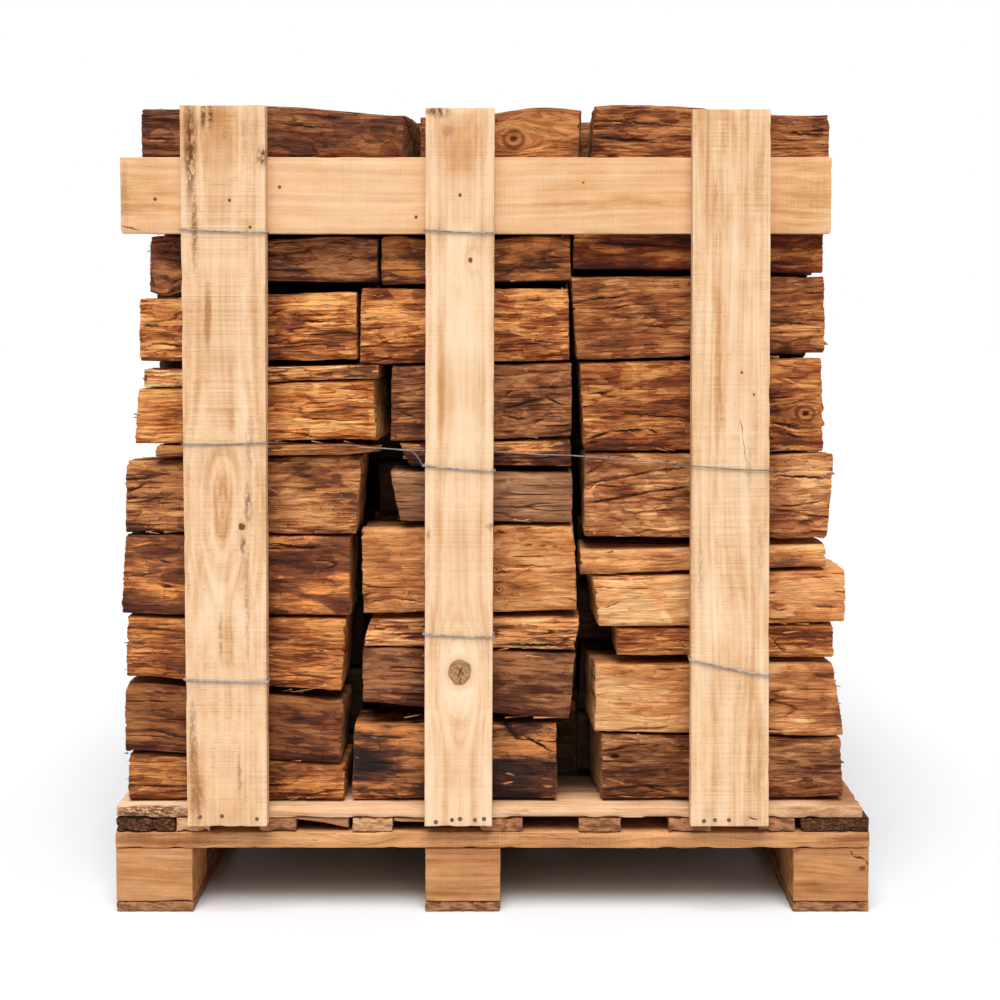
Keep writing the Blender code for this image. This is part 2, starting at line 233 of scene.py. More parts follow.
def log_wood(name, dark, mid, light, rough=0.8, marks=None, corner=(0, 0), inner_side_shade=0.0):
    """Split oak or its inner bark: broken layers of fibres along X, and growth rings on the ends.
    The layers follow the climb that is carved into each log, one unit for each ledge. The last
    argument is how much painted shade darkens the side that lies inside the stack."""
    material, tree, shader = new_material(name)
    coords = add(tree, "TexCoord", out=3)
    skin = add(tree, "SeparateXYZ", add(tree, "Attribute", attribute_name="skin", out=1))
    relief, end, climb = (skin[i] for i in range(3))
    away = add(tree, "SeparateXYZ", add(tree, "Attribute", attribute_name="heart", out=1))
    across, up, seed = (away[i] for i in range(3))
    along = add(tree, "SeparateXYZ", coords)
    # Along the fibres, then across the layers as if each were 6 mm thick. Real fibres are finer than
    # a millimetre; these are bundles of them, as coarse as they need to be to show.
    flow = add(tree, "CombineXYZ", (along, climb * (6 * MM), seed))
    fibres = mottle(flow, (34, 1.1, FAR), 3, 0.62, 0.15)
    streaks = mottle(flow, (130, 4.2, FAR), 2, 0.5, 0.15)
    patches = mottle(coords, (100, 36, 36), 3, 0.58)
    plates = add(tree, "TexVoronoi", {"Vector": scaled(flow, PLATE), "Scale": 1.0}, out=1)
    plates = add(tree, "SeparateXYZ", plates)
    slabs = add(tree, "TexVoronoi", {"Vector": scaled(flow, (52, 12, FAR)), "Scale": 1.0}, out=1)
    slabs = add(tree, "SeparateXYZ", slabs)
    shares = ((plates, 0.12 + 0.28 * rough), (slabs, 0.12 + 0.30 * rough), (relief, 0.56), (patches, 1.55),
              (fibres, 0.34 + 0.24 * rough), (streaks, 0.34 + 0.02 * rough))
    tone = 0.5 - 0.5 * sum(share for _, share in shares)
    for pattern, share in shares:
        tone = pattern * share + tone
    # The seams between the plates are dark, and pale here and there where they stand up.
    seams = add(tree, "TexVoronoi", {"Vector": scaled(flow, PLATE), "Scale": 1.0},
                feature="DISTANCE_TO_EDGE")
    seams = add(tree, "ValToRGB", seams, stops=((0.012, WHITE), (0.06, BLACK))) * (0.10 + 0.26 * rough)
    lifted = mottle(coords, (24, 16, 16), 2, 0.6) * 4.2 - 2.5
    tone = seams * add(tree, "Math", (lifted, 1.1), operation="MINIMUM") + tone
    side = add(tree, "ValToRGB", tone, stops=((0.0, tint(dark, 0.45)), (0.22, dark), (0.50, mid),
                                              (0.76, light), (1.0, tint(light, 1.2))))
    greyed = mottle(coords, (60, 20, 20), 3, 0.6)
    greyed = add(tree, "ValToRGB", greyed, stops=((0.50, BLACK), (0.66, "#606060")))
    side = layered(side, (greyed, layered(side, (0.6, "#8C7261"))))
    # The shadow under each ledge, broken here and there, and fine cracks along the fibres.
    lip = add(tree, "Math", mottle(coords, (11, 3.5, 3.5), 2, 0.5) * 0.5 + climb, operation="FRACT")
    under = add(tree, "ValToRGB", lip, stops=((0.0, WHITE), (0.06, "#C0C0C0"), (0.15, BLACK)))
    broken = add(tree, "ValToRGB", mottle(flow, (38, 7, FAR), 2, 0.5), stops=((0.50, BLACK), (0.58, WHITE)))
    vein = abs(mottle(flow, (90, 5.0, FAR), 1, 0.5, 0.3) - 0.5)
    crack = add(tree, "ValToRGB", vein, stops=((0.003, "#E8E8E8"), (0.011, BLACK)))
    split = strongest([under * (broken * (0.35 + 0.6 * rough)), crack * (0.5 + 0.35 * rough)])
    if marks:
        # The long cracks, pale ridges and knots that each log has of its own, on its front.
        shaken = add(tree, "TexNoise", {"Vector": coords, "Scale": 130.0, "Detail": 1.0}, out=1)
        shaken = add(tree, "SeparateXYZ", shaken) * (5 * MM) + along[2]
        place = add(tree, "CombineXYZ", (along - corner[0], shaken - (corner[1] + 2.5 * MM)))
        front = add(tree, "ValToRGB", across * -0.02, stops=((0.15, BLACK), (0.35, WHITE)))
        if "cracks" in marks:
            long_cracks = strongest([line_mark(place, line) for line in marks["cracks"]])
            split = strongest([split, long_cracks * front])
        if "ridges" in marks:
            pale = strongest([line_mark(place, line) for line in marks["ridges"]])
            side = layered(side, (pale * (front * 0.8), tint(light, 1.3)))
        for at, high, size in marks.get("knots", ()):
            rim = oval(place, (at, high), (1.5 * size, 1.25 * size), 0, 0.75, 1.0) * front
            inside = oval(place, (at, high), (size, 0.8 * size), 0, 0.75, 1.0) * front
            core = oval(place, (at, high), (0.5 * size, 0.4 * size), 0, 0.5, 1.1) * front
            side = layered(side, (rim * 0.75, tint(dark, 0.5)), (inside, mid), (core, tint(dark, 0.25)))
    # The painted shadow under the ledges and the cracks are laid on dark together.
    skinned = layered(side, (split, tint(dark, 0.22)))
    # Painted shade: the side that faces the front inside the stack is darkened towards black.
    if inner_side_shade:
        inside = across * -1.0 / (abs(up) + 12.0)
        inside = add(tree, "ValToRGB", inside, stops=((0.40, BLACK), (0.62, tint(WHITE, inner_side_shade))))
        skinned = layered(skinned, (inside, "#150C07"))
    # The sawn ends: rings round a pith that is off the middle, rays, and a few drying checks.
    across = add(tree, "Math", seed * 90.0, operation="SINE") * 30.0 + across
    up = add(tree, "Math", seed * 130.0, operation="COSINE") * 30.0 + up
    radius = add(tree, "Math", across * across + up * up, operation="SQRT")
    wander = mottle(coords, (40, 20, 20), 2) * 16.0
    rings = add(tree, "Math", (radius + wander) * 1.35, operation="SINE")
    turn = add(tree, "Math", (up, across), operation="ARCTAN2")
    turned = add(tree, "CombineXYZ", (turn * 0.03, radius * MM, seed))
    rays = mottle(turned, (0.8, 30, FAR), 2, 0.6)
    end_tone = patches * 1.3 + (rings * 0.17 + (rays * 0.8 - 0.4) - 0.15)
    ends = add(tree, "ValToRGB", end_tone, stops=((0.15, tint(dark, 0.8)), (0.5, mid), (0.85, light)))
    checks = abs(mottle(turned, (7.5, 190, FAR), 1, 0.4) - 0.5)
    checks = add(tree, "ValToRGB", checks, stops=((0.005, "#F0F0F0"), (0.014, BLACK)))
    ends = layered(ends, (0.35, "#A98055"), (checks, tint(dark, 0.35)))
    colour = layered(skinned, (add(tree, "ValToRGB", end, stops=((0.30, BLACK), (0.42, WHITE))), ends))
    height = plates * 0.45 + (split * -0.6 + fibres)
    feed(shader, colour=colour, roughness=0.78, specular=0.3, relief=(0.8, 2.2, height))
    return material


def made_mesh(bm, name):
    """Turns a bmesh into a mesh and frees it."""
    mesh = bpy.data.meshes.new(name)
    bm.to_mesh(mesh)
    bm.free()
    return mesh


def finished(mesh, places, **attributes):
    """Gives a mesh its vertex places, in metres, and the attributes that its material reads."""
    mesh.vertices.foreach_set("co", places.ravel())
    for key, values in attributes.items():
        attribute = mesh.attributes.new(key, "FLOAT_VECTOR", "POINT")
        attribute.data.foreach_set("vector", values.astype(np.float32).ravel())
    mesh.update()
    return mesh


def log_template(around, along, rings):
    """A capped tube of unit length and radius, with concentric rings on its caps: its mesh, and
    for each vertex its place along, its turn and its share of the radius."""
    bm = bmesh.new()
    bmesh.ops.create_cone(bm, cap_ends=True, segments=around, radius1=1, radius2=1, depth=1)
    lengthwise = [e for e in bm.edges if abs(e.verts[0].co.z - e.verts[1].co.z) > 0.5]
    bmesh.ops.subdivide_edges(bm, edges=lengthwise, cuts=along - 1, use_grid_fill=True)
    bm.normal_update()
    caps = [face for face in bm.faces if abs(face.normal.z) > 0.9]
    for number in range(rings):
        bmesh.ops.inset_individual(bm, faces=caps, thickness=0.05 if number == 0 else 0.88 / rings)
    bmesh.ops.poke(bm, faces=caps)
    # The tube is turned to lie along X with its faces outwards.
    bmesh.ops.transform(bm, matrix=Matrix.Rotation(math.pi / 2, 4, "Y"), verts=bm.verts)
    bm.verts.index_update()
    places = np.array([v.co for v in bm.verts])
    mesh = made_mesh(bm, f"tube_{around}_{along}")
    turn = np.arctan2(places[:, 2], places[:, 1]) / (2 * math.pi) % 1.0
    radius = np.clip(np.hypot(places[:, 1], places[:, 2]), 0, 1)
    return {"mesh": mesh, "t": places[:, 0] + 0.5, "s": turn, "c": radius,
            "rim": np.abs(radius - 1) < 1e-4}


def read_solid(node, stations=9, angles=144):
    """The shape of a log of the frame: rays from its heart give its radius at each station, and
    rays along it give the planes of its ends."""
    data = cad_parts[node].data
    tree = BVHTree.FromPolygons([v.co for v in data.vertices], [p.vertices for p in data.polygons])
    low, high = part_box(node)
    middle = (low + high) / 2
    turns = np.arange(angles) * 2 * math.pi / angles
    hearts, radii, planes = [], [], []
    for i in range(stations):
        x = low.x + (high.x - low.x) * (0.08 + 0.84 * i / (stations - 1))
        start = Vector((x, middle.y, middle.z))
        span = [tree.ray_cast(start, Vector((0, 0, way)))[0].z for way in (1, -1)]
        start.z = sum(span) / 2
        hearts.append((start.y, start.z))
        radii.append([tree.ray_cast(start, Vector((0, math.cos(a), math.sin(a))))[3] for a in turns])
    for way, edge, station in ((-1, low.x, 0), (1, high.x, stations - 1)):
        found = []
        for a, radius in zip(turns[::6], radii[station][::6]):
            inside = Vector((middle.x, hearts[station][0] + 0.6 * radius * math.cos(a),
                             hearts[station][1] + 0.6 * radius * math.sin(a)))
            hit = tree.ray_cast(inside, Vector((way, 0, 0)))[0]
            if hit and abs(hit.x - edge) < 0.022:
                found.append(hit)
        hits = np.array(found)
        sides = np.column_stack([np.ones(len(hits)), hits[:, 1], hits[:, 2]])
        planes.append(np.linalg.lstsq(sides, hits[:, 0], rcond=None)[0])
    return {"hearts": np.array(hearts), "radii": np.array(radii), "planes": planes}


def lay_over(grid, shape, towards):
    """Lays a template over a shape: the places of its vertices in millimetres, the way out from
    the heart, and the way round. Its seam is turned away from the side that faces towards, and
    more vertices go to that side."""
    radii, hearts = shape["radii"] / MM, shape["hearts"] / MM
    stations, angles = radii.shape
    seam = 3 * angles // 4
    if towards:
        seam = round(math.atan2(-towards[1], -towards[0]) / (2 * math.pi) * angles)
    radii = np.roll(radii, -seam, axis=1)
    turns = (np.arange(angles + 1) + seam) * 2 * math.pi / angles
    mean = np.append(radii.mean(0), radii.mean(0)[0])
    ring = np.column_stack([np.cos(turns), np.sin(turns)]) * mean[:, None]
    step = np.diff(ring, axis=0)
    length = np.hypot(*step.T)
    out = np.column_stack([step[:, 1], -step[:, 0]]) / length[:, None]
    facing = ease(0.2, 0.8, out @ np.array(towards)) if towards else np.ones(angles)
    weight = np.concatenate([[0], np.cumsum(length * (0.25 + 0.75 * facing))])
    turn = np.interp(grid["s"], weight / weight[-1], turns)
    around = np.interp(turn, turns, np.concatenate([[0], np.cumsum(length)]))
    column = turn / (2 * math.pi) * angles - seam
    first = np.floor(column).astype(int)
    row = np.clip((grid["t"] - 0.08) / 0.84, 0, 1) * (stations - 1)
    above = np.minimum(np.floor(row).astype(int), max(stations - 2, 0))
    below = np.minimum(above + 1, stations - 1)
    u, w = column - first, row - above
    a, b = first % angles, (first + 1) % angles
    radius = ((radii[above, a] * (1 - u) + radii[above, b] * u) * (1 - w)
              + (radii[below, a] * (1 - u) + radii[below, b] * u) * w)
    heart = hearts[above] * (1 - w)[:, None] + hearts[below] * w[:, None]
    away = np.column_stack([np.cos(turn), np.sin(turn)])
    across = heart + away * (radius * grid["c"])[:, None]
    left, right = (plane[0] / MM + across @ plane[1:] for plane in shape["planes"])
    x = left + (right - left) * grid["t"]
    return np.column_stack([x, across]), away, around, length.sum(), heart


def carve(grid, shape, look, seed, towards=(-1, 0), marks=None):
    """Carves one log. Returns its vertex places in metres and the two attributes that its material
    reads: skin (tone, end, ledges climbed) and heart (away from the pith in millimetres, seed)."""
    places, away, around, girth, heart = lay_over(grid, shape, towards)
    marks = marks or {}
    rough, wave, pitch = look
    t, c = grid["t"], grid["c"]
    points = places.copy()
    corner = points.min(0)
    seen = ease(0.2, 0.6, away @ np.array(towards or (-1, 0)))
    x, z = points[:, 0] - corner[0], points[:, 2] - corner[2]
    # The grain wanders, most of all round the knots. Each cloud is divided by its size in millimetres
    # along, across and up.
    warp = wave * (1.6 * cloud(points / (75, 26, 26), seed) + 0.35 * cloud(points / (18, 8, 8), seed + 1))
    for at, high, size in marks.get("knots", ()):
        near = np.exp(-((x - at) / (2.2 * size)) ** 2 - ((z - high) / (1.5 * size)) ** 2) * seen
        warp += 1.6 * size * near * np.tanh((z - high) / size * 1.5)
    # Broken layers climb round the log, one unit to each. Each ends in a ledge that faces up or down.
    broad = cloud(points / (85, 38, 38), seed + 2)
    ledges = round(girth / pitch)
    climb = around / girth * ledges + warp / pitch + 0.25 * cloud(points / (34, 12, 12), seed + 3)
    flow = np.column_stack([points[:, 0], climb * pitch, np.full(len(x), seed * 3.7)])
    saw = climb - np.floor(climb)
    shingled = ease(-0.2, 0.1, cloud(points / (70, 30, 30), seed + 13))
    ledge = saw * (1 - ease(0.84, 1.0, saw)) * shingled + (1 - saw) * ease(0.0, 0.14, saw) * (1 - shingled)
    ledge *= 0.25 + 0.75 * ease(-0.12, 0.12, cloud(flow / (34, 6, 9), seed + 4))
    # Along the layers run fibres, pits where some have torn out, and long splits.
    fibres = cloud(flow / (20, 1.6, 9), seed + 5)
    coarse = cloud(flow / (42, 4.0, 9), seed + 6)
    pits = ease(0.40, 0.58, cloud(flow / (30, 2.6, 9), seed + 7))
    splits = ease(0.86, 0.98, 1 - np.abs(cloud(flow / (130, 12, 30), seed + 8)) * 2.2)
    splits *= ease(0.1, 0.4, cloud(points / (60, 30, 30), seed + 9))
    # How far the skin stands out, in millimetres, and how light it is.
    depth = (1.9 * broad + 0.9
             + rough * (1.7 * ledge + 0.7 * coarse + 0.6 * fibres - 1.6 * pits - 0.5)
             + (1 - rough) * (0.35 * fibres + 0.7 * coarse + 0.5 * ledge)
             - 3.0 * splits)
    tone = 0.5 + rough * (0.26 * (ledge - 0.35) + 0.10 * fibres + 0.14 * coarse - 0.28 * pits)
    tone += (1 - rough) * (0.10 * fibres + 0.14 * coarse)
    # Painted light and shade: the upper side of the face is lighter and the lower side darker.
    tone += 0.14 * broad - 0.6 * splits + 0.14 * np.clip(away[:, 1], -1, 1) * seen
    # The marks that this log has of its own.
    wiggle = 1.6 * cloud(points / (14, 6, 6), seed + 14)
    for x0, z0, x1, z1, wide in marks.get("cracks", ()):
        long, rise = x1 - x0, z1 - z0
        share = np.clip(((x - x0) * long + (z - z0) * rise) / (long ** 2 + rise ** 2), 0, 1)
        gap = np.hypot(x - x0 - share * long, z - z0 - share * rise + wiggle)
        depth -= 1.4 * wide * np.exp(-(gap / max(wide, 2.2)) ** 2) * seen
    for at, high, size in marks.get("knots", ()):
        gap = np.hypot(x - at, z - high) / size
        knot = (1 - ease(0.7, 1.3, gap)) * seen
        depth += knot * (2.0 - 4.0 * np.exp(-(gap * 2.2) ** 2))
    for at, high, long, tall, strength in marks.get("shades", ()):
        tone += strength * np.exp(-((x - at) / long) ** 2 - ((z - high) / tall) ** 2) * seen
    # Painted light on the upper side, as strong as the log's top mark.
    tone += marks.get("top", 0) * ease(0.45, 0.8, away[:, 1])
    places[:, 1:] += away * (depth * c)[:, None]
    tall = z / max(z.max(), 1)
    for at, long, rise in marks.get("crowns", ()):
        places[:, 2] += rise * np.exp(-((x - at) / long) ** 2) * ease(0.4, 0.95, tall)
    for at, long, fall in marks.get("sags", ()):
        places[:, 2] -= fall * np.exp(-((x - at) / long) ** 2) * (1 - ease(0.05, 0.6, tall))
    # A slanted end: how far its front and its back stand out, and how far its top does.
    deep = (points[:, 1] - corner[1]) / max(np.ptp(points[:, 1]), 1)
    slants = marks.get("slants", ((0, 0, 0), (0, 0, 0)))
    for way, share, (front, back, top) in zip((-1, 1), (1 - t, t), slants):
        places[:, 0] += way * ease(0.75, 1.0, share) * (front + (back - front) * deep + top * (tall - 0.5))
    # The sawn ends are a little ragged, with drying checks that run out from the pith.
    pith = heart + np.array((18.0, -22.0)) * (1 + 0.5 * math.sin(seed))
    from_pith = points[:, 1:] - pith
    angle = np.arctan2(from_pith[:, 1], from_pith[:, 0])
    round_pith = np.column_stack([np.cos(angle), np.sin(angle), np.full(len(x), seed * 1.9)])
    checks = ease(0.90, 0.99, 1 - np.abs(cloud(round_pith * 2.6, seed + 12)) * 1.6)
    worn = 1.0 * cloud(points / (200, 13, 13), seed + 10) + 0.7 * cloud(points / (200, 3.1, 3.1), seed + 11)
    proud = worn - 2.6 * checks * np.clip(c * 1.6, 0, 1) - 1.6 * ease(0.90, 1.0, c) * (0.6 + 0.5 * fibres)
    on_side = grid["rim"] & (t > 0.001) & (t < 0.999)
    places[:, 0] += (proud + 0.8) * (2 * t - 1) * np.where(on_side, 0.3, 1.0)
    ended = np.where(grid["rim"], 0.0, 1.0)
    skin = np.column_stack([np.clip(tone, 0, 1.3), ended, climb])
    rings = np.column_stack([from_pith, np.full(len(places), float(seed))])
    return places * MM, skin, rings


def add_piece(name, data, materials, nodes=()):
    """Makes a mesh or a curve a piece of the object: it rides on the frame and stands for its nodes."""
    obj = put(name, data)
    for material in materials:
        data.materials.append(material)
    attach(obj, "root")
    if nodes:
        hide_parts(*nodes)
    return obj


# Each front log: its dark, middle and light colours, then how rough it is (0 split, 1 barky),
# how wavy its grain is, and the distance between its ledges in millimetres.
FRONT_LOOKS = {
    "left": (
        ("#6E3410", "#A7602E", "#CE8847", 0.7, 1.0, 6), ("#562208", "#8A4E27", "#A36636", 0.45, 1.2, 7),
        ("#89471D", "#BD7037", "#D48D4A", 0.9, 0.9, 6), ("#5C2810", "#90502A", "#DE8C48", 0.4, 1.3, 9),
        ("#774121", "#B7723D", "#D09259", 0.75, 1.2, 8), ("#B9662C", "#DB8B48", "#EAAD65", 1.0, 1.1, 6),
        ("#7D4624", "#E08D4C", "#FCD391", 0.9, 1.0, 5), ("#944C20", "#D17F3F", "#F1AD64", 1.0, 0.9, 6),
        ("#4D230E", "#965730", "#BA7B4A", 0.7, 0.8, 6), ("#3F1D0A", "#864B27", "#AD7547", 0.9, 1.0, 6),
        ("#56260A", "#7B401C", "#996235", 0.8, 0.9, 7),
    ),
    "middle": (
        ("#28110A", "#5E3018", "#C27A42", 0.35, 1.5, 9), ("#531F05", "#6A3A20", "#A1683D", 0.45, 1.2, 7),
        ("#7E4524", "#E39456", "#F3B572", 0.9, 1.0, 5), ("#A15D2E", "#CC8549", "#DCA267", 0.35, 1.0, 9),
        ("#794D35", "#93613F", "#B6835A", 0.15, 0.6, 9), ("#4F1E07", "#793E1F", "#DF9653", 0.9, 1.1, 5),
        ("#673518", "#93542D", "#B87A47", 0.8, 1.0, 7), ("#94471A", "#C3773A", "#E9A15B", 1.0, 1.1, 6),
        ("#653315", "#A65F31", "#D28646", 0.7, 0.9, 6), ("#4A2918", "#834C2C", "#B3723F", 0.9, 0.9, 6),
        ("#854620", "#AF6A35", "#C9884E", 0.6, 1.4, 8),
    ),
    "right": (
        ("#612D0F", "#8C532B", "#B77D4B", 0.6, 1.2, 7), ("#9B592D", "#CC864C", "#DCA872", 0.3, 0.8, 9),
        ("#893F10", "#C1793C", "#E29F5A", 0.7, 1.0, 6), ("#C97C42", "#E19D60", "#EAB880", 0.3, 0.8, 9),
        ("#A06137", "#DE9556", "#EBB076", 0.2, 0.8, 8), ("#914E25", "#B77543", "#E1A469", 0.75, 1.3, 8),
        ("#813B11", "#B06830", "#D89250", 0.75, 1.5, 7), ("#7E4019", "#9D5A2B", "#C68249", 0.9, 1.2, 7),
        ("#591F04", "#873E0D", "#C57B3C", 0.6, 1.0, 7), ("#6B3110", "#A45E2D", "#C07F47", 0.95, 1.1, 5),
    ),
}
